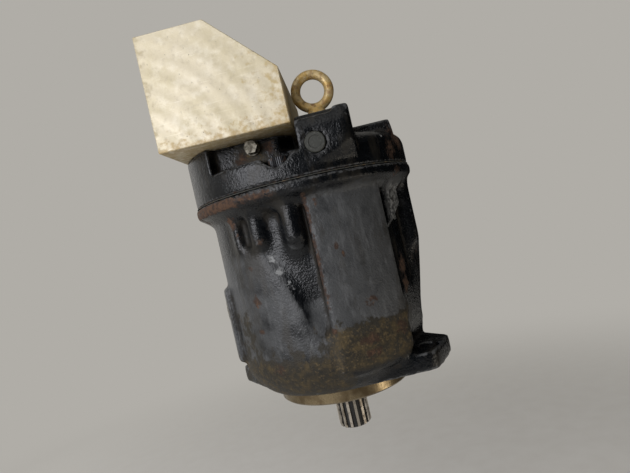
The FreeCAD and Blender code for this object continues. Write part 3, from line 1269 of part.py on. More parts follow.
# ---------------------------------------------------------------- pressure compensator and drain plugs
def make_compensator():
    """Compensator on the back of the cover: body, spool, spring, seats, adjuster, lock nut, plug, screws."""
    blank = box("valve_blank", "-valve_half_w", "valve_y", "valve_low", "2 * valve_half_w", "valve_depth", "valve_h")
    bore = rod("spool_bore", "spool_r + spool_gap", "2 * valve_half_w + 2", "-valve_half_w - 1", "spool_y", "spool_z", along="X")
    chamber = rod("spring_chamber", "9.5", "valve_half_w - 6", "8", "spool_y", "spool_z", along="X")
    mouth = rod("gland_thread", "11 + thread_gap", "9", "valve_half_w - 8", "spool_y", "spool_z", along="X")
    plug_seat = rod("plug_thread", "8 + thread_gap", "9", "-valve_half_w - 1", "spool_y", "spool_z", along="X")
    tools = [bore, chamber, mouth, plug_seat]
    screws = []
    for i in (-1, 1):
        for k in (-1, 1):
            x = f"{i} * valve_screw_x"
            z = f"spool_z + {k} * valve_screw_z"
            seat = "valve_y + valve_depth - 2 * valve_screw_r - 0.5"
            tools.append(rod("valve_hole", "valve_screw_r + screw_gap", "valve_depth + 2", x, "valve_y - 1", z, along="Y"))
            tools.append(rod("valve_counterbore", "1.7 * valve_screw_r + 0.4", "10", x, seat, z, along="Y"))
            head = rod("valve_screw_head", "1.7 * valve_screw_r", "2 * valve_screw_r", x, seat, z, along="Y")
            socket = hexagon("valve_screw_socket", "1.6 * valve_screw_r", "6", x, f"{seat} + valve_screw_r", z, along="Y")
            shank = rod("valve_screw_shank", "valve_screw_r", f"{seat} - valve_y + 12.5", x, "valve_y - 11.5", z, along="Y")
            screws.append(fuse("valve_screw", [cut("valve_screw_cap", head, [socket]), shank]))
    node("compensator_body", cut("compensator_body", blank, tools, turn="kit_turn"))
    node("compensator_screws", group("compensator_screws", screws, turn="kit_turn"))

    spool = turned("spool_body", [
        ("0", "-24"),
        ("spool_r", "-24"),
        ("spool_r", "-14"),
        ("spool_r - 1.8", "-14"),
        ("spool_r - 1.8", "-6"),
        ("spool_r", "-6"),
        ("spool_r", "9"),
        ("8.4", "9"),
        ("8.4", "11.5"),
        ("0", "11.5"),
    ])
    place(spool, "0", "spool_y", "spool_z", along="X")
    node("compensator_spool", group("compensator_spool", [spool], turn="kit_turn"))
    spring = made("valve_coil", coil(6.6, 1.1, 11.5, s.adjuster_seat, 5))
    place(spring, "0", "spool_y", "spool_z", along="X")
    node("compensator_spring", group("compensator_spring", [spring], turn="kit_turn"))

    seat = turned("adjuster_body", [
        ("0", "adjuster_seat"),
        ("9.2", "adjuster_seat"),
        ("9.2", "adjuster_seat + 3"),
        ("4", "adjuster_seat + 3"),
        ("4", "valve_half_w + 24"),
        ("3.2", "valve_half_w + 25"),
        ("0", "valve_half_w + 25"),
    ])
    place(seat, "0", "spool_y", "spool_z", along="X")
    node("adjuster_screw", group("adjuster_screw", [seat], turn="kit_turn"))
    thread = rod("gland_shank", "11", "7.5", "valve_half_w - 7.5", "spool_y", "spool_z", along="X")
    head = hexagon("gland_head", "24", "7", "valve_half_w", "spool_y", "spool_z", along="X")
    hole = rod("gland_hole", "4 + thread_gap", "30", "valve_half_w - 10", "spool_y", "spool_z", along="X")
    gland = cut("gland", fuse("gland_solid", [thread, head]), [hole])
    nut = hexagon("lock_nut_blank", "13", "6.5", "valve_half_w + 7", "spool_y", "spool_z", along="X")
    nut_hole = rod("lock_nut_hole", "4 + thread_gap", "30", "valve_half_w", "spool_y", "spool_z", along="X")
    lock_nut = cut("lock_nut", nut, [nut_hole])
    node("adjuster_nuts", group("adjuster_nuts", [gland, lock_nut], turn="kit_turn"))
    stem = rod("end_plug_stem", "8", "7.5", "-valve_half_w", "spool_y", "spool_z", along="X")
    cap = hexagon("end_plug_head", "19", "5", "-valve_half_w - 5", "spool_y", "spool_z", along="X")
    return node("compensator_plug", fuse("compensator_plug", [stem, cap], turn="kit_turn"))


def make_drain_plugs():
    """Two sunk hexagon socket plugs in the drain ports."""
    plugs = []
    for turn, z, seat in (("drain_turn", "drain_z", "drain_seat"), ("far_drain_turn", "far_drain_z", "far_drain_seat")):
        stem = rod("drain_stem", "drain_r - thread_gap", "12", f"{seat} - 12", z=z, along="X")
        rim = rod("drain_rim", "drain_r + 3.5", "2.6", seat, z=z, along="X")
        socket = hexagon("drain_socket", "10", "9", f"{seat} - 5", z=z, along="X")
        plugs.append(cut("drain_plug", fuse("drain_blank", [stem, rim]), [socket], turn=turn))
    return node("drain_plugs", group("drain_plugs", plugs))


def main():
    """Builds every sub-part, checks it and writes one STEP file for each."""
    make_case()
    make_gasket()
    make_cover()
    make_joint_screws()
    make_cover_plugs()
    make_eye()
    make_block()
    make_block_fasteners()
    make_valve_plate()
    make_barrel()
    make_pistons()
    make_slippers()
    make_retainer()
    make_hold_down()
    make_swash()
    make_saddle_bearings()
    make_actuators()
    make_shaft()
    make_bearing("front", "journal_r", "front_race_r", "front_w", 17, "front_z", False)
    make_bearing("rear", "rear_journal_r", "rear_race_r", "rear_w", 16, "rear_seat", True)
    make_front_closure()
    make_compensator()
    make_drain_plugs()
    doc.recompute()

    faults = []
    for item in doc.Objects:
        if "Invalid" in item.State or "Error" in item.State:
            faults.append(f"{item.Label}: {item.State}")
    for name, item in NODES.items():
        shape = item.Shape
        if shape.isNull() or not shape.isValid() or not shape.Solids:
            faults.append(f"{name}: bad shape")
            continue
        shape.exportStep(f"parts/{name}.step")
    print(len(NODES), "nodes written")
    if faults:
        raise RuntimeError("; ".join(faults))


main()
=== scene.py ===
"""Axial piston pump: soft cast skins, turned details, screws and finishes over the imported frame.

Lengths are metres in the part's own frame: origin on the mounting face, +Z towards the rear cover.
Finishes, stains and names that end in _mm are in millimetres, as a maker would give them.
"""

from __future__ import annotations

import logging
import math
from collections.abc import Callable, Iterable, Iterator
from contextlib import contextmanager
from dataclasses import dataclass
from enum import Enum

import bmesh
import bpy
import numpy as np
from mathutils import Matrix, Vector


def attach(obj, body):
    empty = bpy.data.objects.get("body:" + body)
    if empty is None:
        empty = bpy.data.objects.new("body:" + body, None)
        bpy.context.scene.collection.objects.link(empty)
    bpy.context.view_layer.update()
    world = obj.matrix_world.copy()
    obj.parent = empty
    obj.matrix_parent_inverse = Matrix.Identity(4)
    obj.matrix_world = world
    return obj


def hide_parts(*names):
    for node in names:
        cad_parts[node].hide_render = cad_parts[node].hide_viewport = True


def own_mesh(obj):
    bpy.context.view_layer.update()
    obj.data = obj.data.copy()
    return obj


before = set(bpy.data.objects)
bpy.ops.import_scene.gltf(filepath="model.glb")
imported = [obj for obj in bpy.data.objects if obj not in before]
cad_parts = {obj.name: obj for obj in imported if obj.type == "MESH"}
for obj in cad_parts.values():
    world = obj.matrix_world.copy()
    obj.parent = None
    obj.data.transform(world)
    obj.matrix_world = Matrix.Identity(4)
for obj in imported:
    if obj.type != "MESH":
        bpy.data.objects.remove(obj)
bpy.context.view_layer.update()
LOG = logging.getLogger("pump")
MM = 0.001
BODY = "pump_body"

Triple = tuple[float, float, float]
Array = np.ndarray
Mesh = bpy.types.Mesh
Material = bpy.types.Material
Node = bpy.types.Node
Tree = bpy.types.NodeTree
Socket = bpy.types.NodeSocket
# Where a node stands for a value, its first output is meant.
Source = Socket | Node

# Corners of the CAD mesh closer than this, in metres, are one point.
SAME_POINT = 2e-6
# Keeps a division by an edge's squared length away from zero.
TINY = 1e-12
# Input numbers of a Mix node: its factor, and its two ends as plain values or as colours.
FACTOR, VALUE_A, VALUE_B, COLOUR_A, COLOUR_B = 0, 2, 3, 6, 7
# Output number of a Mix node that mixes colours.
MIXED = 2
# Multiplier that drops a point to the mounting face, to measure it from the shaft's axis.
FLAT = (1.0, 1.0, 0.0)
# Noise and relief that every finish shares.
BLOTCH_ROUGHNESS = 0.6
RELIEF_DETAIL = 2.0
RELIEF_STRENGTH = 0.7
RING_SCALE = 0.16
RING_WOBBLE = 0.4


# ---- colours and nodes
def linear(code: str) -> tuple[float, float, float, float]:
    """Turns an sRGB hex colour into linear RGBA.

    Args:
        code: Six hex digits after a hash.

    Returns:
        Red, green, blue and alpha for a shader socket.
    """
    parts = [int(code[k : k + 2], 16) / 255 for k in (1, 3, 5)]
    return (*(p / 12.92 if p <= 0.04045 else ((p + 0.055) / 1.055) ** 2.4 for p in parts), 1.0)


def feed(tree: Tree, node: Node, values: dict[str | int, object]) -> None:
    """Fills a node's inputs.

    Args:
        tree: The node tree it is in.
        node: The node.
        values: Input name or number to a value, or to the socket or node that feeds it.
    """
    for name, value in values.items():
        if isinstance(value, Node):
            value = value.outputs[0]
        if isinstance(value, Socket):
            tree.links.new(value, node.inputs[name])
        else:
            node.inputs[name].default_value = value


def add(tree: Tree, kind: str, values: dict[str | int, object], **settings: object) -> Node:
    """Adds one node with its settings, its values and its links.

    Args:
        tree: The node tree it goes into.
        kind: The node's class name.
        values: Input name or number to a value, or to the socket or node that feeds it.
        **settings: Attributes of the node, such as operation.

    Returns:
        The new node.
    """
    node = tree.nodes.new(kind)
    for name, value in settings.items():
        setattr(node, name, value)
    feed(tree, node, values)
    return node


def blank(name: str) -> tuple[Material, Tree, Node]:
    """A new node material, its tree and its shader."""
    material = bpy.data.materials.new(name)
    material.use_nodes = True
    return material, material.node_tree, material.node_tree.nodes["Principled BSDF"]


def from_axis(tree: Tree, where: Source) -> Source:
    """Distance of a point from the shaft's axis."""
    flat = add(tree, "ShaderNodeVectorMath", {0: where, 1: FLAT}, operation="MULTIPLY")
    return add(tree, "ShaderNodeVectorMath", {0: flat}, operation="LENGTH").outputs["Value"]


# ---- finishes
class Stain(Enum):
    """What a casting's skin keeps for its finish, as attributes from 0 to 1."""

    EDGE = "edge"
    HOLLOW = "hollow"
    RUST = "rust"
    # Worn bare paint, and a painted sheen on the facet at the upper right of the case.
    WEAR_AND_SHEEN = "wear_and_sheen"
    # Dust, and on the facet at the upper right of the case a painted sheen.
    DUST_AND_SHEEN = "dust_and_sheen"
    GRIME = "grime"


class Place(Enum):
    """A measure of the point itself that a coat can follow, in millimetres."""

    X = "X"
    Z = "Z"
    RADIUS = "distance from the shaft's axis"


class Lay(Enum):
    """Direction of a surface's marks: a stretch of the pattern, or the axis its rings go round."""

    SAND = (1.0, 1.0, 1.0)
    DOWN = (1.0, 1.0, 0.3)
    LINES_X = (0.05, 1.0, 1.0)
    LINES_Z = (1.0, 1.0, 0.05)
    RINGS_Z = "Z"
    ARCS_Y = "Y"

    def pattern(self, tree: Tree, where: Source, size_mm: float, **extra: float) -> Source:
        """A blotchy pattern from 0 to 1, stretched along the lay.

        Args:
            tree: The material's node tree.
            where: The point's object coordinates.
            size_mm: Size of the blotches.
            **extra: Detail and roughness of the pattern.

        Returns:
            The pattern.
        """
        drawn = add(tree, "ShaderNodeMapping", {"Vector": where, "Scale": self.value})
        noise = {"Vector": drawn, "Scale": 1 / (size_mm * MM), **extra}
        return add(tree, "ShaderNodeTexNoise", noise)


@dataclass(frozen=True)
class Coat:
    """One uneven layer on a finish: dirt, rust, tarnish, worn paint or a stain.

    A blotchy pattern shows the layer where it rises from low to high, helped where the coat
    follows a stain or a place: there up to follow is added as it goes from start to stop.
    """

    colour: str
    size_mm: float
    low: float
    high: float
    amount: float = 0.8
    roughness: float = 0.7
    metallic: float = 0.0
    follows: Stain | Place | None = None
    follow: float = 0.5
    start: float = 0.0
    stop: float = 1.0
    detail: float = 4.0
    lay: Lay = Lay.SAND

    def guide(self, tree: Tree, where: Source) -> Source:
        """What the coat follows: the stain, or the place in metres."""
        if isinstance(self.follows, Stain):
            name = self.follows.value
            return add(tree, "ShaderNodeAttribute", {}, attribute_name=name).outputs["Fac"]
        if self.follows is Place.RADIUS:
            return from_axis(tree, where)
        return add(tree, "ShaderNodeSeparateXYZ", {0: where}).outputs[self.follows.value]

    def mask(self, tree: Tree, where: Source) -> Source:
        """Where the coat shows.

        Args:
            tree: The material's node tree.
            where: The point's object coordinates.

        Returns:
            A pattern from 0 to amount.
        """
        noise = {"Detail": self.detail, "Roughness": BLOTCH_ROUGHNESS}
        pattern = self.lay.pattern(tree, where, self.size_mm, **noise)
        if self.follows is not None:
            unit = MM if isinstance(self.follows, Place) else 1.0
            low, high = self.start * unit, self.stop * unit
            rise = {"Value": self.guide(tree, where), "From Min": low, "From Max": high}
            lift = add(tree, "ShaderNodeMapRange", rise | {"To Max": self.follow})
            pattern = add(tree, "ShaderNodeMath", {0: pattern, 1: lift}, operation="ADD")
        rise = {"Value": pattern, "From Min": self.low, "From Max": self.high}
        how = {"interpolation_type": "SMOOTHSTEP"}
        return add(tree, "ShaderNodeMapRange", rise | {"To Max": self.amount}, **how)


@dataclass(frozen=True)
class Mark:
    """Relief too fine to model: sand grain, turned rings or cutter marks."""

    size_mm: float
    depth_mm: float
    lay: Lay = Lay.SAND
    centre: Triple = (0.0, 0.0, 0.0)

    def height(self, tree: Tree, where: Source) -> Source:
        """The relief's height pattern.

        Args:
            tree: The material's node tree.
            where: The point's object coordinates.

        Returns:
            A pattern from 0 to 1.
        """
        if self.lay not in (Lay.RINGS_Z, Lay.ARCS_Y):
            return self.lay.pattern(tree, where, self.size_mm, Detail=RELIEF_DETAIL)
        shift = {"Vector": where, "Location": tuple(-value * MM for value in self.centre)}
        wave = {
            "Vector": add(tree, "ShaderNodeMapping", shift),
            "Scale": RING_SCALE / (self.size_mm * MM),
            "Distortion": RING_WOBBLE,
            "Detail": RELIEF_DETAIL,
        }
        how = {"wave_type": "RINGS", "rings_direction": self.lay.value}
        return add(tree, "ShaderNodeTexWave", wave, **how).outputs["Fac"]


@dataclass(frozen=True)
class Finish:
    """A real finish: its base, the uneven coats over it and the marks in it."""

    name: str
    colour: str
    roughness: float
    metallic: float = 0.0
    specular: float = 0.5
    coats: tuple[Coat, ...] = ()
    marks: tuple[Mark, ...] = ()

    def build(self) -> Material:
        """Makes the node material.

        Returns:
            The finished material.
        """
        material, tree, shader = blank(self.name)
        where = add(tree, "ShaderNodeTexCoord", {}).outputs["Object"]
        shown = {
            "Base Color": linear(self.colour),
            "Roughness": self.roughness,
            "Metallic": self.metallic,
            "Specular IOR Level": self.specular,
        }
        for coat in self.coats:
            mask = coat.mask(tree, where)
            ends = {FACTOR: mask, COLOUR_A: shown["Base Color"], COLOUR_B: linear(coat.colour)}
            mixed = add(tree, "ShaderNodeMix", ends, data_type="RGBA")
            shown["Base Color"] = mixed.outputs[MIXED]
            for name, over in (("Roughness", coat.roughness), ("Metallic", coat.metallic)):
                if shown[name] != over:
                    ends = {FACTOR: mask, VALUE_A: shown[name], VALUE_B: over}
                    shown[name] = add(tree, "ShaderNodeMix", ends, data_type="FLOAT")
        for mark in self.marks:
            relief = {
                "Height": mark.height(tree, where),
                "Strength": RELIEF_STRENGTH,
                "Distance": mark.depth_mm * MM,
            }
            if "Normal" in shown:
                relief["Normal"] = shown["Normal"]
            shown["Normal"] = add(tree, "ShaderNodeBump", relief)
        feed(tree, shader, shown)
        return material


# A coat's columns: colour, size, low, high, amount, roughness, metallic; then what it follows,
# how far, and from where to where.
FINISHES = {
    # Brushed enamel over sand-cast iron: a pebbled gloss that the light breaks up on. Chalky where
    # handled, brown with oily dirt low down, rusty where water stood, bare where knocked. The dust
    # and wear coats also paint the sheen of the facet at the upper right of the case.
    "paint": Finish(
        "satin_black_enamel_on_cast_iron", "#07090c", 0.26, specular=0.28,
        coats=(
            Coat("#101316", 20, 0.48, 0.72, 0.5, 0.32),
            # Chalky dust; over the facet at the upper right of the case its grey is also a painted
            # sheen.
            Coat("#464748", 26, 0.6, 0.96, 0.95, 0.46, 0, Stain.DUST_AND_SHEEN),
            Coat("#1b1d20", 10, 0.46, 0.74, 0.4, 0.34, detail=7),
            Coat("#626364", 6, 0.66, 0.84, 0.4, 0.5, 0, Stain.DUST_AND_SHEEN, 0.18, detail=7, lay=Lay.DOWN),
            Coat("#2f2b24", 15, 0.5, 0.66, 0.45, 0.5, detail=6, lay=Lay.DOWN),
            Coat("#29251d", 9, 0.74, 0.86, 0.92, 0.6, 0, Stain.GRIME, 0.5),
            Coat("#4c4029", 7, 0.76, 1.04, 0.8, 0.75, 0, Stain.GRIME, 0.36, detail=8),
            Coat("#6a5a3e", 2.4, 0.92, 1.06, 0.55, 0.8, 0, Stain.GRIME, 0.4, detail=6),
            Coat("#1c1812", 7, 0.68, 0.98, 0.8, 0.7, 0, Stain.HOLLOW),
            # Light grey where the paint is knocked bare; on the facet at the upper right of the
            # case it is a painted sheen.
            Coat("#8b8c8c", 3, 0.92, 1.1, 0.9, 0.6, 0, Stain.WEAR_AND_SHEEN, 0.56, detail=6),
            Coat("#5b5c5d", 3, 0.96, 1.2, 0.6, 0.45, 0, Stain.EDGE, 0.6),
            Coat("#36271e", 5, 0.76, 0.94, 0.85, 0.8, 0, Stain.RUST, detail=6),
            Coat("#594232", 2.6, 0.86, 1.04, 0.7, 0.85, 0, Stain.RUST, detail=7),
            Coat("#a29f96", 1.6, 0.76, 0.8, 0.8, 0.6),
        ),
        marks=(Mark(5, 0.5), Mark(1.6, 0.6)),
    ),
    # Milled steel block under pale yellow passivation, handled and stored: cream, with cutter arcs,
    # ochre tide marks along its right and lower edges, fine scratches and a few dark nicks.
    "block": Finish(
        "pale_yellow_passivated_milled_steel", "#d3c8ae", 0.42, 0.15,
        coats=(
            Coat("#c4b896", 24, 0.36, 0.7, 0.8, 0.5, 0.15),
            Coat("#e4dcc9", 7, 0.44, 0.74, 0.6, 0.4, 0.15, detail=7),
            Coat("#a8986f", 7, 0.82, 1.05, 0.7, 0.6, 0.1, Place.X, 0.42, -70, -97),
            Coat("#b39a63", 6, 0.74, 1, 0.7, 0.6, 0.1, Place.X, 0.4, -40, 10),
            Coat("#a98d55", 4, 0.78, 1.05, 0.7, 0.6, 0.1, Place.Z, 0.45, 250, 222),
            Coat("#f0e9d8", 1.6, 0.6, 0.72, 0.4, 0.4, 0.15, lay=Lay.LINES_X),
            Coat("#9d9078", 5, 0.5, 0.8, 0.4, 0.6, 0.1, detail=8),
            Coat("#4c4335", 2.6, 0.68, 0.73, 0.85, 0.7),
        ),
        marks=(Mark(7, 0.25, Lay.ARCS_Y, (-135, -101, 190)), Mark(3, 0.12), Mark(1, 0.08)),
    ),
    # Turned bare iron, browned by oil and air, with bright rings where it was last touched.
    "pilot": Finish(
        "turned_bare_iron", "#86785f", 0.25, 1,
        coats=(
            Coat("#584a36", 14, 0.4, 0.66, 0.8, 0.42, 1),
            Coat("#2e271d", 5, 0.6, 0.75, 0.7, 0.6, 0.4),
        ),
        marks=(Mark(0.7, 0.03, Lay.RINGS_Z),),
    ),
    # Case-hardened spline: bright worn lands, black oil left in the gaps.
    "shaft": Finish(
        "case_hardened_shaft_steel", "#aaa398", 0.24, 1,
        coats=(
            Coat("#5a4d3e", 6, 0.46, 0.66, 0.6, 0.45, 1),
            Coat("#0d0b09", 3, 0.6, 0.8, 1, 0.5, 0, Place.RADIUS, 0.45, 15.2, 14),
        ),
        marks=(Mark(0.6, 0.02, Lay.LINES_Z),),
    ),
    # Forged eye: yellow passivation worn to brown steel, rust in the pores.
    "eye": Finish(
        "yellow_passivated_forged_steel", "#c4ad7d", 0.42, 0.3,
        coats=(
            Coat("#b9964e", 7, 0.46, 0.6, 0.8, 0.45, 0.3),
            Coat("#3f2d1b", 4, 0.54, 0.66, 0.55, 0.75),
            Coat("#8f8d86", 2, 0.62, 0.7, 0.6, 0.35, 0.9),
            Coat("#7a4d26", 6, 0.5, 0.66, 0.6, 0.7, detail=6),
        ),
        marks=(Mark(2.5, 0.3), Mark(0.8, 0.1)),
    ),
    # Turned steel plug under a thin, rubbed coat of the enamel.
    "plug": Finish(
        "turned_steel_under_thin_paint", "#2d2e29", 0.46, 0.1,
        coats=(
            Coat("#5a5b56", 1.6, 0.52, 0.66, 0.5, 0.4, 0.5),
            Coat("#211f1b", 5, 0.52, 0.64, 0.7, 0.7),
        ),
        marks=(Mark(0.9, 0.05),),
    ),
    # Small zinc-plated fitting, dull and caked with dirt.
    "zinc": Finish(
        "dull_zinc_plated_steel", "#8f8a7d", 0.45, 0.55,
        coats=(
            Coat("#4a4436", 3, 0.42, 0.56, 0.85, 0.75),
            Coat("#c9c3b2", 1.5, 0.6, 0.68, 0.6, 0.4, 0.5),
        ),
        marks=(Mark(0.8, 0.08),),
    ),
    # Cap screws in black oxide, browned where hands and tools rubbed them.
    "oxide": Finish(
        "black_oxide_screw_steel", "#232426", 0.38, 0.6,
        coats=(Coat("#4a3424", 4, 0.54, 0.66, 0.8, 0.75),), marks=(Mark(0.5, 0.03),),
    ),
    # Hardened and ground: pistons, races, rollers, pins and guide rods.
    "ground": Finish(
        "hardened_ground_steel", "#b3b2ae", 0.18, 1,
        coats=(Coat("#7d7a73", 9, 0.52, 0.7, 0.6, 0.3, 1),), marks=(Mark(0.4, 0.01, Lay.LINES_Z),),
    ),
    # Turned steel under a film of oil.
    "steel": Finish(
        "machined_steel", "#94938f", 0.32, 1,
        coats=(Coat("#615e57", 8, 0.5, 0.68, 0.6, 0.45, 1),), marks=(Mark(0.6, 0.02, Lay.RINGS_Z),),
    ),
    # Turned bronze, dark where oil stands on it.
    "bronze": Finish(
        "machined_bronze", "#b18b4e", 0.28, 1,
        coats=(Coat("#6f5329", 7, 0.5, 0.68, 0.7, 0.45, 1),), marks=(Mark(0.6, 0.02, Lay.RINGS_Z),),
    ),
    # Oil-tempered wire.
    "spring": Finish(
        "oil_tempered_spring_wire", "#505154", 0.33, 1,
        coats=(Coat("#2c2a28", 5, 0.48, 0.66, 0.7, 0.5, 0.8),), marks=(Mark(0.5, 0.02),),
    ),
    # Machined iron inside the castings and on their joint faces.
    "iron": Finish(
        "machined_nodular_iron", "#737270", 0.4, 1,
        coats=(Coat("#3f3c37", 6, 0.48, 0.68, 0.7, 0.55, 0.7),), marks=(Mark(0.6, 0.05),),
    ),
    # Moulded seal lips and rings.
    "nitrile": Finish(
        "moulded_nitrile_rubber", "#151515", 0.6,
        coats=(Coat("#2b2a27", 6, 0.5, 0.75, 0.7),), marks=(Mark(0.8, 0.05),),
    ),
    # Pressed gasket, soaked with oil at its edges.
    "fibre": Finish(
        "pressed_fibre_gasket", "#3c3d38", 0.8,
        coats=(Coat("#6b5a42", 5, 0.48, 0.66, 0.8, 0.85),), marks=(Mark(0.7, 0.08),),
    ),
}


class Palette:
    """Builds each finish once and dresses pieces and CAD nodes with it."""

    def __init__(self) -> None:
        """Makes every material."""
        self.made = {key: finish.build() for key, finish in FINISHES.items()}

    def dress(self, **nodes: Iterable[str]) -> None:
        """Gives CAD nodes their finish, on every slot they have.

        Args:
            **nodes: The finish's key to the names of its CAD nodes.
        """
        for key, names in nodes.items():
            for name in names:
                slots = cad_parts[name].data.materials
                if not slots:
                    slots.append(self.made[key])
                for k in range(len(slots)):
                    slots[k] = self.made[key]
                LOG.info("%s: %s", name, key)


# ---- mesh helpers
def link(name: str, data: bpy.types.ID) -> bpy.types.Object:
    """Puts a mesh, a light or a camera in the scene as an object at the origin."""
    thing = bpy.data.objects.new(name, data)
    bpy.context.scene.collection.objects.link(thing)
    return thing


def seat(name: str, mesh: Mesh, slot: str, *nodes: str) -> bpy.types.Object:
    """Makes a piece that rides on the pump's body in place of the CAD nodes it stands for.

    Args:
        name: The piece's name.
        mesh: Its finished mesh.
        slot: Not used.
        *nodes: The CAD nodes it replaces.

    Returns:
        The piece.
    """
    piece = link(name, mesh)
    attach(piece, BODY)
    for node in nodes:
        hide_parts(node)
    LOG.info("%s: %d faces", name, len(mesh.polygons))
    return piece


def frozen(piece: bpy.types.Object) -> Mesh:
    """The evaluated mesh of an object, its modifiers applied."""
    graph = bpy.context.evaluated_depsgraph_get()
    return bpy.data.meshes.new_from_object(piece.evaluated_get(graph))


@contextmanager
def edited(mesh: Mesh) -> Iterator[bmesh.types.BMesh]:
    """A mesh opened for editing and written back afterwards."""
    shape = bmesh.new()
    shape.from_mesh(mesh)
    yield shape
    shape.to_mesh(mesh)
    shape.free()


def merged(node: str) -> Mesh:
    """A copy of a CAD node's mesh with its loose triangles joined.

    Args:
        node: The CAD node's name.

    Returns:
        The new mesh.
    """
    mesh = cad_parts[node].data.copy()
    with edited(mesh) as shape:
        bmesh.ops.remove_doubles(shape, verts=shape.verts, dist=SAME_POINT)
    return mesh


def solids(node: str) -> list[tuple[Vector, Vector]]:
    """The lowest and highest corner of each separate solid of a CAD node.

    Args:
        node: The CAD node's name.

    Returns:
        Pairs of corners, in a fixed order.
    """
    found = []
    with edited(merged(node)) as shape:
        left = set(shape.verts)
        while left:
            group, edge = set(), [left.pop()]
            while edge:
                vertex = edge.pop()
                group.add(vertex)
                near = {line.other_vert(vertex) for line in vertex.link_edges} & left
                left -= near
                edge.extend(near)
            spots = np.array([vertex.co[:] for vertex in group])
            found.append((Vector(spots.min(0)), Vector(spots.max(0))))
    return sorted(found, key=lambda pair: tuple(round(value, 5) for value in pair[0]))


def lathe(name: str, profile: list[tuple[float, float]], steps: int = 160) -> Mesh:
    """A closed ring turned about the Z axis from a profile.

    Args:
        name: Name of the mesh.
        profile: Corners as (radius, height), going round the section.
        steps: Number of steps round.

    Returns:
        The turned mesh.
    """
    mesh = bpy.data.meshes.new(name)
    with edited(mesh) as shape:
        rings = []
        for k in range(steps):
            x, y = math.cos(math.tau * k / steps), math.sin(math.tau * k / steps)
            rings.append([shape.verts.new((r * x, r * y, height)) for r, height in profile])
        for here, there in zip(rings, rings[1:] + rings[:1]):
            for j in range(len(profile)):
                following = (j + 1) % len(profile)
                shape.faces.new((here[j], there[j], there[following], here[following]))
        bmesh.ops.recalc_face_normals(shape, faces=shape.faces)
    return mesh


# ---- cast skins
def read(items: bpy.types.bpy_prop_collection, key: str) -> Array:
    """One vector of every element of a mesh, as rows of three."""
    values = np.zeros(len(items) * 3, np.float32)
    items.foreach_get(key, values)
    return values.reshape(-1, 3)


def fade(value: Array, soft: float) -> Array:
    """0 outside, 1 inside and a slope of the width soft between."""
    return np.clip(value / soft + 0.5, 0, 1)


@dataclass(frozen=True)
class Spot:
    """A patch of one stain on a casting, soft at its border, in millimetres."""

    kind: Stain
    x: float
    y: float
    z: float
    r: float
    amount: float = 1.0
    tall: float = 1.0
    reach: float = 1.3

    def on(self, points: Array) -> Array:
        """How strongly the patch covers each point.

        Args:
            points: Vertex positions in millimetres.

        Returns:
            A value from 0 to amount for each point.
        """
        away = (points - np.array((self.x, self.y, self.z))) / self.r
        away[:, 2] /= self.tall
        return self.amount * np.clip(self.reach - (away**2).sum(1) ** 0.5, 0, 1)


def spots(kind: Stain, *rows: tuple[float, ...]) -> tuple[Spot, ...]:
    """Patches of one stain from rows of x, y, z, radius, amount and tallness."""
    return tuple(Spot(kind, *row) for row in rows)


@dataclass(frozen=True)
class Zone:
    """A part of a casting's outside between two angles and two heights, in degrees and millimetres.

    It lays a stain, or guides the rounding where it has no kind.
    """

    kind: Stain | None
    start: float
    stop: float
    low: float
    high: float
    amount: float = 1.0
    inner: float = 0.0
    soft: float = 6.0

    def on(self, points: Array) -> Array:
        """How strongly the zone covers each point.

        Args:
            points: Vertex positions in millimetres.

        Returns:
            A value from 0 to amount for each point.
        """
        x, y, z = points.T
        angle = np.degrees(np.arctan2(y, x))
        turned = fade(angle - self.start, self.soft / 2) * fade(self.stop - angle, self.soft / 2)
        level = fade(z - self.low, self.soft) * fade(self.high - z, self.soft)
        return self.amount * turned * level * fade(np.hypot(x, y) - self.inner, 1.0)


@dataclass(frozen=True)
class Net:
    """The edges of a mesh, each both ways round, and how many meet at each vertex."""

    ends: Array
    others: Array
    valence: Array

    @classmethod
    def of(cls, mesh: Mesh) -> Net:
        """Reads a mesh's edges."""
        edges = np.zeros(len(mesh.edges) * 2, np.int32)
        mesh.edges.foreach_get("vertices", edges)
        one, two = edges.reshape(-1, 2).T
        ends, others = np.concatenate([one, two]), np.concatenate([two, one])
        valence = np.bincount(ends, minlength=len(mesh.vertices))
        return cls(ends, others, np.maximum(valence, 1))

    def gather(self, values: Array) -> Array:
        """The mean over the edges at each vertex, from one value for each edge."""
        return np.bincount(self.ends, values, len(self.valence)) / self.valence

    def mean(self, values: Array) -> Array:
        """The mean over the neighbours of each vertex, from one value for each vertex."""
        return self.gather(values[self.others])


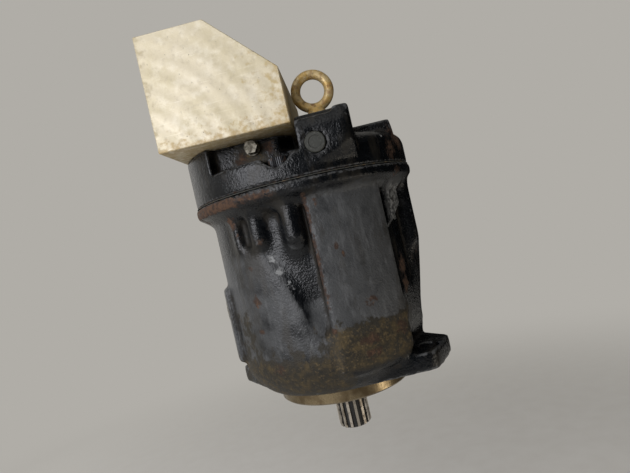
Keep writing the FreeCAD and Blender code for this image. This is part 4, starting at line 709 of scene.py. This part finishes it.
@dataclass
class CastSkin:
    """A casting's visible surface: the CAD shape with soft sand-cast edges, its stains laid on."""

    node: str
    voxel: float = 1.6 * MM
    rounds: int = 9
    pull: float = 0.5
    bend_gain: float = 5.0
    bend_passes: int = 3
    stains: tuple[Spot | Zone, ...] = ()
    freedom: Callable[[Array], Array] | None = None

    def remesh(self) -> Mesh:
        """An even mesh of the CAD solid, fine enough for soft edges."""
        source = link(self.node + "_source", merged(self.node))
        modifier = source.modifiers.new("even", "REMESH")
        modifier.mode = "VOXEL"
        modifier.voxel_size = self.voxel
        modifier.use_smooth_shade = True
        mesh = frozen(source)
        bpy.data.objects.remove(source)
        return mesh

    def soften(self, points: Array, net: Net) -> Array:
        """Rounds edges by pulling each vertex towards its neighbours.

        Args:
            points: Vertex positions.
            net: The mesh's edges.

        Returns:
            The new positions.
        """
        turns = self.rounds * np.ones(len(points))
        if self.freedom is not None:
            turns = self.rounds * self.freedom(points / MM)
        for turn in range(math.ceil(turns.max())):
            mean = np.stack([net.mean(points[:, k]) for k in range(3)], 1)
            points = points + (mean - points) * np.where(turns > turn, self.pull, 0.0)[:, None]
        return points

    def stain(self, mesh: Mesh, points: Array, net: Net) -> None:
        """Stores each stain on the mesh for its finish; edges and hollows come from its bend.

        Args:
            mesh: The skin.
            points: Its vertex positions.
            net: Its edges.
        """
        normals = read(mesh.vertex_normals, "vector")
        step = points[net.others] - points[net.ends]
        swing = (normals[net.others] - normals[net.ends]) * step
        curve = net.gather(swing.sum(1) / ((step**2).sum(1) + TINY) * self.voxel)
        for _ in range(self.bend_passes):
            curve = (curve + net.mean(curve)) / 2
        layers = {kind: np.zeros(len(points)) for kind in Stain}
        layers[Stain.EDGE] = np.clip(curve * self.bend_gain, 0, 1)
        layers[Stain.HOLLOW] = np.clip(-curve * self.bend_gain, 0, 1)
        for mark in self.stains:
            layers[mark.kind] = np.maximum(layers[mark.kind], mark.on(points / MM))
        for kind, values in layers.items():
            layer = mesh.attributes.new(kind.value, "FLOAT", "POINT")
            layer.data.foreach_set("value", values.astype(np.float32))

    def build(self) -> Mesh:
        """Makes the skin.

        Returns:
            The mesh, with its stains.
        """
        mesh = self.remesh()
        net = Net.of(mesh)
        points = self.soften(read(mesh.vertices, "co").astype(float), net)
        mesh.vertices.foreach_set("co", points.astype(np.float32).ravel())
        mesh.update()
        self.stain(mesh, points, net)
        return mesh


def cover_faces(
    mesh: Mesh, materials: list[Material], choose: Callable[[Array], Array]
) -> None:
    """Gives a mesh its materials, chosen face by face.

    Args:
        mesh: The mesh.
        materials: Its materials.
        choose: Turns face centres in millimetres into material numbers.
    """
    mesh.materials.clear()
    for material in materials:
        mesh.materials.append(material)
    chosen = choose(read(mesh.polygons, "center") / MM).astype(np.int32)
    mesh.polygons.foreach_set("material_index", chosen)
    mesh.polygons.foreach_set("use_smooth", [True] * len(mesh.polygons))
    mesh.update()


# ---- what repeats
@dataclass
class CapScrews:
    """Socket head cap screws with knurled heads, one on each site, made with Geometry Nodes.

    Head and socket are a radius, a height and a middle; the rim is two radii, a height and a
    middle. All are shares of the screw's radius.
    """

    node: str
    finish: Material
    radius: float
    shank: float
    ridges: int = 36
    knurl: float = 0.35 * MM
    head: Triple = (1.5, 2.0, 1.0)
    socket: Triple = (0.95, 2.0, 1.85)
    rim: tuple[float, float, float, float] = (1.47, 1.38, 0.14, 1.92)
    socket_sides: int = 6
    shank_sides: int = 24
    shank_mid: float = -0.5 + 1e-3

    def tree(self) -> Tree:
        """The node tree: one screw from its sizes, then a copy on each point."""
        tree = bpy.data.node_groups.new("cap_screws", "GeometryNodeTree")
        face = tree.interface
        face.new_socket("Sites", in_out="INPUT", socket_type="NodeSocketGeometry")
        sizes = {"Screw radius": self.radius, "Shank length": self.shank}
        for name, value in (sizes | {"Knurl depth": self.knurl, "Ridges": self.ridges}).items():
            kind = "NodeSocketInt" if isinstance(value, int) else "NodeSocketFloat"
            face.new_socket(name, in_out="INPUT", socket_type=kind).default_value = value
        face.new_socket("Screws", in_out="OUTPUT", socket_type="NodeSocketGeometry")
        given = add(tree, "NodeGroupInput", {}).outputs
        r, length = given["Screw radius"], given["Shank length"]
        size = {
            share: add(tree, "ShaderNodeMath", {0: r, 1: share}, operation="MULTIPLY")
            for share in (*self.head, *self.socket, *self.rim)
        }

        def raised(solid: Source, height: Source) -> Source:
            """A solid moved up the Z axis."""
            up = add(tree, "ShaderNodeCombineXYZ", {"Z": height})
            return add(tree, "GeometryNodeTransform", {"Geometry": solid, "Translation": up})

        def rod(sides: Source | int, radius: Source, depth: Source, middle: Source) -> Source:
            """A prism on the Z axis, its middle at a height."""
            sizes = {"Vertices": sides, "Radius": radius, "Depth": depth}
            return raised(add(tree, "GeometryNodeMeshCylinder", sizes), middle)

        # Every second vertex of the head is pushed in by the knurl's depth.
        teeth = add(tree, "ShaderNodeMath", {0: given["Ridges"], 1: 2.0}, operation="MULTIPLY")
        head = rod(teeth, *(size[share] for share in self.head))
        index = add(tree, "GeometryNodeInputIndex", {})
        odd = add(tree, "ShaderNodeMath", {0: index, 1: 2.0}, operation="MODULO")
        dent = {0: odd, 1: given["Knurl depth"]}
        deep = add(tree, "ShaderNodeMath", dent, operation="MULTIPLY")
        back = add(tree, "ShaderNodeMath", {0: deep, 1: -1.0}, operation="MULTIPLY")
        where = add(tree, "GeometryNodeInputPosition", {})
        flat = add(tree, "ShaderNodeVectorMath", {0: where, 1: FLAT}, operation="MULTIPLY")
        out = add(tree, "ShaderNodeVectorMath", {0: flat}, operation="NORMALIZE")
        push = add(tree, "ShaderNodeVectorMath", {0: out, "Scale": back}, operation="SCALE")
        head = add(tree, "GeometryNodeSetPosition", {"Geometry": head, "Offset": push})

        foot_r, top_r, depth, height = (size[share] for share in self.rim)
        cone = {"Vertices": teeth, "Radius Bottom": foot_r, "Radius Top": top_r, "Depth": depth}
        rim = raised(add(tree, "GeometryNodeMeshCone", cone), height)
        middle = add(tree, "ShaderNodeMath", {0: length, 1: self.shank_mid}, operation="MULTIPLY")
        body = add(tree, "GeometryNodeMeshBoolean", {}, operation="UNION")
        for solid in (head, rim, rod(self.shank_sides, r, length, middle)):
            feed(tree, body, {"Mesh 2": solid})
        hexagon = rod(self.socket_sides, *(size[share] for share in self.socket))
        drill = {"Mesh 1": body, "Mesh 2": hexagon}
        screw = add(tree, "GeometryNodeMeshBoolean", drill, operation="DIFFERENCE")
        sites = {"Points": given["Sites"], "Instance": screw}
        placed = add(tree, "GeometryNodeInstanceOnPoints", sites)
        real = add(tree, "GeometryNodeRealizeInstances", {"Geometry": placed})
        done = add(tree, "GeometryNodeSetMaterial", {"Geometry": real, "Material": self.finish})
        add(tree, "NodeGroupOutput", {0: done})
        return tree

    def build(self) -> None:
        """Makes the screws on the CAD solids' own places."""
        sites = bpy.data.meshes.new(self.node + "_sites")
        feet = [
            ((low.x + high.x) / 2, (low.y + high.y) / 2, low.z + self.shank)
            for low, high in solids(self.node)
        ]
        sites.from_pydata(feet, [], [])
        carrier = link(self.node + "_carrier", sites)
        modifier = carrier.modifiers.new("screws", "NODES")
        modifier.node_group = self.tree()
        mesh = frozen(carrier)
        bpy.data.objects.remove(carrier)
        seat(self.node + "_knurled", mesh, "steel", self.node)


@dataclass
class PressedSpring:
    """A coil spring, its CAD mesh copied onto the pump's body."""

    node: str
    finish: Material
    joint: str
    axis: Triple
    travel: float

    def build(self) -> None:
        """Makes the spring."""
        mesh = merged(self.node)
        mesh.materials.clear()
        mesh.materials.append(self.finish)
        piece = seat(self.node + "_coil", mesh, "spring_steel", self.node)
        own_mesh(piece)


# ---- sub-assemblies
@dataclass
class PumpCase:
    """The cast case with its flange, its bare pilot and the plugs in its drain ports.

    The shares say how much of the usual rounding is left at machined places.
    """

    palette: Palette
    flange_turn: float = math.radians(-24.5)
    ear_pitch_mm: float = 181.0
    ear_seat_r_mm: float = 16.5
    room_r_mm: float = 66.0
    room_z_mm: float = 2.0
    face_z_mm: float = 0.4
    joint_r_mm: float = 96.0
    joint_z_mm: float = 176.5
    bore_share: float = 0.25
    joint_share: float = 0.35
    skin_foot: float = -0.6 * MM
    # The pilot's section: chamfered foot, neck at the mounting face, seal bore and ring groove.
    pilot_mm: tuple[tuple[float, float], ...] = (
        (27.2, -12.7), (62, -12.7), (63.5, -11.2), (63.5, -0.4), (63, 0), (63, 0.9),
        (26, 0.9), (26, -9), (27.6, -9), (27.6, -11.1), (26, -11.1), (26, -11.5),
    )
    # The sloped recess, the ribs over it and the bulge are rounder than the rest.
    rounder: tuple[Zone, ...] = (
        Zone(None, -134, -90.5, 46, 131, 8.0, 82.0, 8.0),
        Zone(None, -136, -90.5, 127, 168, 2.0, 82.0, 8.0),
        Zone(None, -16, 34, 34, 166, 5.0, 82.0, 8.0),
    )
    # A zone's numbers: from and to angle, low, high, amount, inner radius, softness; -90 is front.
    stains: tuple[Spot | Zone, ...] = (
        Zone(Stain.DUST_AND_SHEEN, -86, -40, 46, 166, 1, 91.5, 8),
        Zone(Stain.DUST_AND_SHEEN, -175, -86, 30, 128, 0.72, 89, 14),
        Zone(Stain.DUST_AND_SHEEN, -136, -105, 62, 127, 0.75, 83, 9),
        Zone(Stain.DUST_AND_SHEEN, -98, -84, 50, 84, 0.75, 83, 12),
        # Dust, and a painted sheen: this zone's grey stands in for the light the facet at the upper
        # right mirrors.
        Zone(Stain.DUST_AND_SHEEN, -36, -17, 122, 166, 1, 87),
        Zone(Stain.GRIME, -92, -22, 18, 57, 1, 60, 8),
        Zone(Stain.GRIME, -178, -78, -6, 44, 0.9, 60, 24),
        Zone(Stain.GRIME, -152, -132, 20, 82, 0.6, 80, 14),
        Zone(Stain.GRIME, -100, -70, 36, 66, 0.6, 88, 18),
        Zone(Stain.RUST, -172, -118, 168, 178, 0.95, 97, 3),
        Zone(Stain.RUST, -124, -98, 168, 178, 0.88, 97, 8),
        Zone(Stain.RUST, -88, -84.5, 70, 168, 0.75, 90, 3),
        # Painted sheen: the wear coat's light grey on the facet at the upper right of the case
        # stands in for the light it mirrors.
        Zone(Stain.WEAR_AND_SHEEN, -35, -18, 129, 163, 0.88, 82, 3),
        Zone(Stain.DUST_AND_SHEEN, 94, 136, 46, 166, 0.9, 91.5, 8),
        Zone(Stain.DUST_AND_SHEEN, 34, 93, 36, 160, 0.6, 88, 14),
        Zone(Stain.GRIME, 34, 179, -6, 42, 0.8, 60, 22),
        *spots(
            Stain.RUST,
            (76, -39, 90, 11, 1, 1.2), (75, -40, 72, 10, 1, 1.2), (84, -50, 44, 10, 0.8),
            (44, 82, 118, 9, 0.9, 1.4), (-30, 90, 84, 8, 0.9), (92, 44, 172, 12, 0.8, 0.6),
            (-62, -72, 157, 8, 1, 1.4), (-57, -76, 146, 7, 1, 1.4), (-52, -79, 135, 7, 1, 1.2),
            (96, -24, 92, 16, 0.75, 1.4), (92, -34, 80, 12, 0.8, 1.2), (-38, -88, 137, 7, 1, 0.7),
            (-53, -76, 117, 6, 0.85, 0.6), (-54, -75, 87, 7, 0.85, 1.3),
            (-55, -74, 63, 6, 0.8, 0.6), (23, -92, 121, 2.2, 1, 2.2), (27, -91, 114, 2.2, 1, 2.2),
            (14, -94, 158, 3, 0.9, 3), (41, -85, 72, 9, 0.75, 0.7), (6, -94, 55, 5, 1, 0.7),
            (34, -88, 42, 14, 0.85, 0.6), (33, -86, 31, 12, 0.9, 0.6), (60, -74, 44, 10, 0.8, 1.2),
            (-45, -76, 30, 12, 0.75, 0.8), (84, -58, 170, 12, 0.7), (-92, -40, 165, 14, 0.8, 0.6),
        ),
        *spots(
            Stain.WEAR_AND_SHEEN,
            (-31, -82, 121, 7, 1, 1), (-27, -83, 110, 7, 1, 1.2), (-21, -85, 97, 6, 0.85, 1.8),
            (-38, -83, 112, 5, 0.6, 3), (-14, -91, 67, 2, 1, 3.5), (12, -92, 50, 2, 1, 2),
            (31, -90, 60, 14, 0.6, 0.25), (57, -76, 66, 10, 0.55, 1.2),
            (46, -83, 104, 10, 0.4, 1.6), (44, -85, 85, 2, 1, 1.6), (-40, -87, 158, 7, 0.6, 1.6),
        ),
    )

    def freedom(self, points: Array) -> Array:
        """How free each vertex is to round: less at bores and seats, more in the cast recess.

        Args:
            points: Vertex positions in millimetres.

        Returns:
            A share of the usual rounding for each vertex.
        """
        radius = np.hypot(points[:, 0], points[:, 1])
        free = np.ones(len(points))
        for zone in self.rounder:
            free = free + zone.on(points)
        free[radius < self.room_r_mm] = self.bore_share
        free[(points[:, 2] > self.joint_z_mm) & (radius < self.joint_r_mm)] = self.joint_share
        for side in (1, -1):
            arm = side * self.ear_pitch_mm / 2
            x, y = arm * math.cos(self.flange_turn), arm * math.sin(self.flange_turn)
            seated = np.hypot(points[:, 0] - x, points[:, 1] - y) < self.ear_seat_r_mm
            free[seated] = self.bore_share
        return free

    def machined(self, centres: Array) -> Array:
        """1 for bare iron in the rooms and on the mounting face, 0 for paint."""
        room = np.hypot(centres[:, 0], centres[:, 1]) < self.room_r_mm
        inside = room & (centres[:, 2] > self.room_z_mm)
        return np.where(inside | (centres[:, 2] < self.face_z_mm), 1, 0)

    def skin(self) -> None:
        """The painted casting, cut off where the bare pilot starts."""
        mesh = CastSkin("pump_housing", stains=self.stains, freedom=self.freedom).build()
        foot, down = (0, 0, self.skin_foot), (0, 0, -1)
        with edited(mesh) as shape:
            cut = {"geom": shape.verts[:] + shape.edges[:] + shape.faces[:], "clear_outer": True}
            bmesh.ops.bisect_plane(shape, plane_co=foot, plane_no=down, **cut)
            border = [edge for edge in shape.edges if edge.is_boundary]
            bmesh.ops.triangle_fill(shape, edges=border, use_beauty=True, normal=down)
        made = self.palette.made
        cover_faces(mesh, [made["paint"], made["iron"]], self.machined)
        seat("cast_case", mesh, "black_cast", "pump_housing")

    def pilot(self) -> None:
        """The bare turned pilot with its seal bore and ring groove."""
        mesh = lathe("pilot", [(r * MM, height * MM) for r, height in self.pilot_mm])
        mesh.materials.append(self.palette.made["pilot"])
        seat("pilot_band", mesh, "black_cast")

    def build(self) -> None:
        """Makes the pieces and dresses the nodes."""
        self.skin()
        self.pilot()
        self.palette.dress(
            zinc=["drain_plugs"],
            fibre=["joint_gasket"],
            nitrile=["shaft_seal"],
            spring=["retaining_ring"],
        )


@dataclass
class RearCover:
    """The cast rear cover with its screws, plugs and lifting eye.

    The shares say how much of the usual rounding is left at machined places.
    """

    palette: Palette
    voxel: float = 1.35 * MM
    rounds: int = 7
    bore_r_mm: float = 50.0
    joint_r_mm: float = 95.0
    joint_z_mm: float = 181.5
    face_r_mm: float = 96.0
    face_z_mm: float = 180.5
    shoulders_mm: tuple[float, float] = (213.5, 224.5)
    boss_y_mm: float = -70.0
    port_mm: Triple = (46.8, 17.5, 25.8)
    bore_share: float = 0.25
    face_share: float = 0.3
    stains: tuple[Spot | Zone, ...] = (
        Zone(Stain.RUST, -175, -60, 178.5, 181, 0.7, 99, 2),
        *spots(
            Stain.RUST,
            (93, -42, 202, 16, 1, 1.2), (84, -58, 190, 12, 0.8, 1.4), (74, -72, 203, 4, 0.8),
            (-40, -72, 208, 14, 0.8, 0.8), (-14, -70, 214, 9, 0.9),
        ),
        *spots(Stain.WEAR_AND_SHEEN, (70, -76, 203, 3, 1), (79, -65, 202, 3, 1)),
        *spots(Stain.GRIME, (-30, -68, 208, 26, 1, 0.6)),
    )

    def freedom(self, points: Array) -> Array:
        """How free each vertex is to round: less at bores, port faces and the joint.

        Args:
            points: Vertex positions in millimetres.

        Returns:
            A share of the usual rounding for each vertex.
        """
        x, y, z = points.T
        radius = np.hypot(x, y)
        low, high = self.shoulders_mm
        free = np.ones(len(points))
        free[radius < self.bore_r_mm] = self.bore_share
        free[(z < self.joint_z_mm) & (radius < self.joint_r_mm)] = self.face_share
        free[(z > low) & (z < high) & (y > self.boss_y_mm)] = self.face_share
        return free

    def machined(self, centres: Array) -> Array:
        """1 for bare iron in the port and on the joint face, 0 for paint."""
        x, y, z = centres.T
        port_x, port_y, port_r = self.port_mm
        face = (z < self.face_z_mm) & (np.hypot(x, y) < self.face_r_mm)
        return np.where(face | (np.hypot(x - port_x, y - port_y) < port_r), 1, 0)

    def build(self) -> None:
        """Makes the skin and the screws and dresses the nodes."""
        made = self.palette.made
        sizes = ("port_plate", self.voxel, self.rounds)
        mesh = CastSkin(*sizes, stains=self.stains, freedom=self.freedom).build()
        cover_faces(mesh, [made["paint"], made["iron"]], self.machined)
        seat("cast_cover", mesh, "black_cast", "port_plate")
        CapScrews("joint_screws", made["oxide"], radius=6 * MM, shank=21 * MM).build()
        self.palette.dress(plug=["round_plug"], zinc=["gallery_plug"], eye=["lifting_eye"])


@dataclass
class PortBlock:
    """The pale block on the cover, with its screws and ring."""

    palette: Palette

    def build(self) -> None:
        """Dresses the nodes."""
        nodes = {"block": ["port_block"], "oxide": ["block_screws"], "nitrile": ["block_o_ring"]}
        self.palette.dress(**nodes)


@dataclass
class RotatingGroup:
    """Shaft, barrel, pistons, slippers, swashplate and their bearings."""

    palette: Palette
    pistons: int = 9
    bias_axis: Triple = (0, 0, 1)
    bias_travel: float = 21.8 * MM

    def build(self) -> None:
        """Makes the bias spring and dresses the nodes."""
        moved = ("swash_tilt", self.bias_axis, self.bias_travel)
        PressedSpring("bias_spring", self.palette.made["spring"], *moved).build()
        numbers = range(1, self.pistons + 1)
        races = [f"{end}_bearing_{part}" for end in ("front", "rear") for part in ("cup", "cone")]
        rods = ["control_guide_rod", "bias_guide_rod", "valve_plate_pin", "hold_down_pins"]
        rollers = ["front_bearing_rollers", "rear_bearing_rollers", "saddle_bearings"]
        turned = ["cylinder_barrel", "retainer_plate", "spring_washers"]
        self.palette.dress(
            shaft=["drive_shaft"],
            ground=[*races, *rollers, *rods, *(f"piston_{k}" for k in numbers)],
            bronze=["valve_plate", "retainer_ball", *(f"slipper_{k}" for k in numbers)],
            steel=[*turned, "control_piston", "bias_piston"],
            iron=["swash_plate"],
            spring=["barrel_spring"],
        )


@dataclass
class Compensator:
    """The pressure compensator on the back of the cover."""

    palette: Palette
    voxel: float = 0.9 * MM
    rounds: int = 4
    spool_axis: Triple = (0.93667219, 0.35020738, 0)
    spool_travel: float = 3 * MM

    def build(self) -> None:
        """Makes the body's skin and the spring and dresses the nodes."""
        made = self.palette.made
        mesh = CastSkin("compensator_body", self.voxel, self.rounds).build()
        cover_faces(mesh, [made["paint"]], lambda centres: np.zeros(len(centres)))
        seat("cast_compensator", mesh, "black_cast", "compensator_body")
        moved = ("spool_shift", self.spool_axis, self.spool_travel)
        PressedSpring("compensator_spring", made["spring"], *moved).build()
        self.palette.dress(
            oxide=["compensator_screws"],
            zinc=["adjuster_screw", "adjuster_nuts", "compensator_plug"],
            ground=["compensator_spool"],
        )


# ---- studio
@dataclass(frozen=True)
class Lamp:
    """A soft rectangular lamp aimed at a point."""

    name: str
    place: Triple
    width: float
    height: float
    watts: float
    colour: str = "#ffffff"
    aim: Triple = (0.0, 0.0, 0.13)

    def build(self) -> None:
        """Hangs the lamp in the scene."""
        data = bpy.data.lights.new(self.name, "AREA")
        data.shape = "RECTANGLE"
        data.size, data.size_y = self.width, self.height
        data.energy = self.watts
        data.color = linear(self.colour)[:3]
        lamp = link(self.name, data)
        lamp.location = self.place
        lamp.rotation_mode = "QUATERNION"
        towards = Vector(self.aim) - Vector(self.place)
        lamp.rotation_quaternion = towards.to_track_quat("-Z", "Y")
        lamp.visible_camera = False


@dataclass
class Studio:
    """Pale floor that runs into a pale surround, soft lamps, black felt and the camera.

    The eye, right and up are the camera's place and axes; reach is half the floor's width.
    """

    eye: Triple = (0.036270, -0.467295, 0.133707)
    right: Triple = (0.972147, 0.071825, -0.223094)
    up: Triple = (0.222055, 0.022249, 0.974780)
    lens: float = 27.23
    sensor: float = 36.0
    nearest: float = 0.01
    floor_z: float = -0.35
    floor_reach: float = 8.0
    floor_fade: tuple[float, float] = (0.3, 1.7)
    backdrop: str = "#b0ada7"
    paper: str = "#faf8f3"
    paper_fibre: str = "#f1eee8"
    paper_roughness: float = 0.95
    paper_grain_mm: float = 30.0
    ambient: float = 0.45
    lamps: tuple[Lamp, ...] = (
        Lamp("key", (-0.9, -1.2, 0.42), 1.2, 0.6, 18.5, "#f8f9ff"),
        Lamp("top", (-0.4, -1.2, 1.3), 1.1, 1.1, 4.0),
        Lamp("rim", (-1.0, 0.75, 0.35), 0.6, 1.2, 0.9),
        Lamp("low", (0.467, -0.25, -0.17), 0.15, 0.14, 0.3, "#fff3e0", (0.03, -0.05, -0.01)),
    )
    felt: tuple[str, str] = ("#050505", "#0c0c0c")
    felt_grain_mm: float = 4.0
    felt_line: tuple[tuple[float, float], ...] = (
        (-0.3, -1.7), (0.95, -1.1), (0.95, 0.6), (0.8, 1.0), (-0.05, 1.35),
    )
    felt_heights: tuple[float, float] = (-0.345, 1.0)

    def camera(self) -> None:
        """Sets up the camera."""
        data = bpy.data.cameras.new("camera")
        data.lens = self.lens
        data.sensor_width = self.sensor
        data.sensor_fit = "HORIZONTAL"
        data.clip_start = self.nearest
        camera = link("camera", data)
        right, up = Vector(self.right).normalized(), Vector(self.up)
        back = right.cross(up).normalized()
        up = back.cross(right)
        axes = Matrix((right, up, back)).transposed()
        camera.matrix_world = Matrix.Translation(self.eye) @ axes.to_4x4()
        bpy.context.scene.camera = camera

    def glow(self, tree: Tree) -> Source:
        """Strength of the pale surround: full where it is seen or mirrored, ambient as a light.

        Args:
            tree: A world's or a material's node tree.

        Returns:
            The strength.
        """
        path = add(tree, "ShaderNodeLightPath", {}).outputs
        bent = {0: path["Is Glossy Ray"], 1: path["Is Transmission Ray"]}
        mirrored = add(tree, "ShaderNodeMath", bent, operation="ADD")
        either = {0: path["Is Camera Ray"], 1: mirrored}
        seen = add(tree, "ShaderNodeMath", either, operation="ADD", use_clamp=True)
        return add(tree, "ShaderNodeMapRange", {"Value": seen, "To Min": self.ambient})

    def speckle(self, tree: Tree, where: Source, size_mm: float, *ends: str) -> Source:
        """A fine mix of two near colours."""
        grain = Lay.SAND.pattern(tree, where, size_mm)
        mix = {FACTOR: grain, COLOUR_A: linear(ends[0]), COLOUR_B: linear(ends[1])}
        return add(tree, "ShaderNodeMix", mix, data_type="RGBA").outputs[MIXED]

    def floor(self) -> None:
        """Lays the floor: matt paper that keeps the shadow and runs into the surround."""
        material, tree, shader = blank("matt_paper_floor")
        where = add(tree, "ShaderNodeTexCoord", {}).outputs["Object"]
        paper = self.speckle(tree, where, self.paper_grain_mm, self.paper, self.paper_fibre)
        feed(tree, shader, {"Roughness": self.paper_roughness, "Base Color": paper})
        near, far = self.floor_fade
        rise = {"Value": from_axis(tree, where), "From Min": near, "From Max": far}
        gone = add(tree, "ShaderNodeMapRange", rise, interpolation_type="SMOOTHERSTEP")
        light = {"Color": linear(self.backdrop), "Strength": self.glow(tree)}
        surround = add(tree, "ShaderNodeEmission", light)
        both = add(tree, "ShaderNodeMixShader", {0: gone, 1: shader, 2: surround})
        feed(tree, tree.nodes["Material Output"], {"Surface": both})
        half = self.floor_reach
        corners = ((-half, -half), (half, -half), (half, half), (-half, half))
        mesh = bpy.data.meshes.new("floor")
        mesh.from_pydata([(x, y, self.floor_z) for x, y in corners], [], [(0, 1, 2, 3)])
        mesh.materials.append(material)
        link("floor", mesh)

    def hang_felt(self) -> None:
        """Hangs black felt to the right and behind, which gloss mirrors as a dark room."""
        material, tree, shader = blank("black_felt")
        where = add(tree, "ShaderNodeTexCoord", {}).outputs["Object"]
        nap = self.speckle(tree, where, self.felt_grain_mm, *self.felt)
        feed(tree, shader, {"Roughness": 1.0, "Base Color": nap})
        count = len(self.felt_line)
        corners = [(x, y, z) for z in self.felt_heights for x, y in self.felt_line]
        strips = [(k, k + 1, k + 1 + count, k + count) for k in range(count - 1)]
        mesh = bpy.data.meshes.new("felt")
        mesh.from_pydata(corners, [], strips)
        mesh.materials.append(material)
        felt = link("felt", mesh)
        felt.visible_camera = felt.visible_shadow = felt.visible_diffuse = False

    def world(self) -> None:
        """A plain pale surround, the same for the camera and for reflections."""
        world = bpy.data.worlds.new("surround")
        world.use_nodes = True
        bpy.context.scene.world = world
        tree = world.node_tree
        light = {"Color": linear(self.backdrop), "Strength": self.glow(tree)}
        feed(tree, tree.nodes["Background"], light)

    def build(self) -> None:
        """Sets up everything round the object."""
        bpy.context.scene.view_settings.view_transform = "Standard"
        self.camera()
        self.floor()
        self.hang_felt()
        self.world()
        for lamp in self.lamps:
            lamp.build()


def main() -> None:
    """Builds each sub-assembly in order and the studio round them."""
    palette = Palette()
    for assembly in (PumpCase, RearCover, PortBlock, RotatingGroup, Compensator):
        assembly(palette).build()
        LOG.info("%s done", assembly.__name__)
    Studio().build()


if __name__ == "__main__":
    logging.basicConfig(level=logging.INFO, format="%(name)s: %(message)s")
    main()
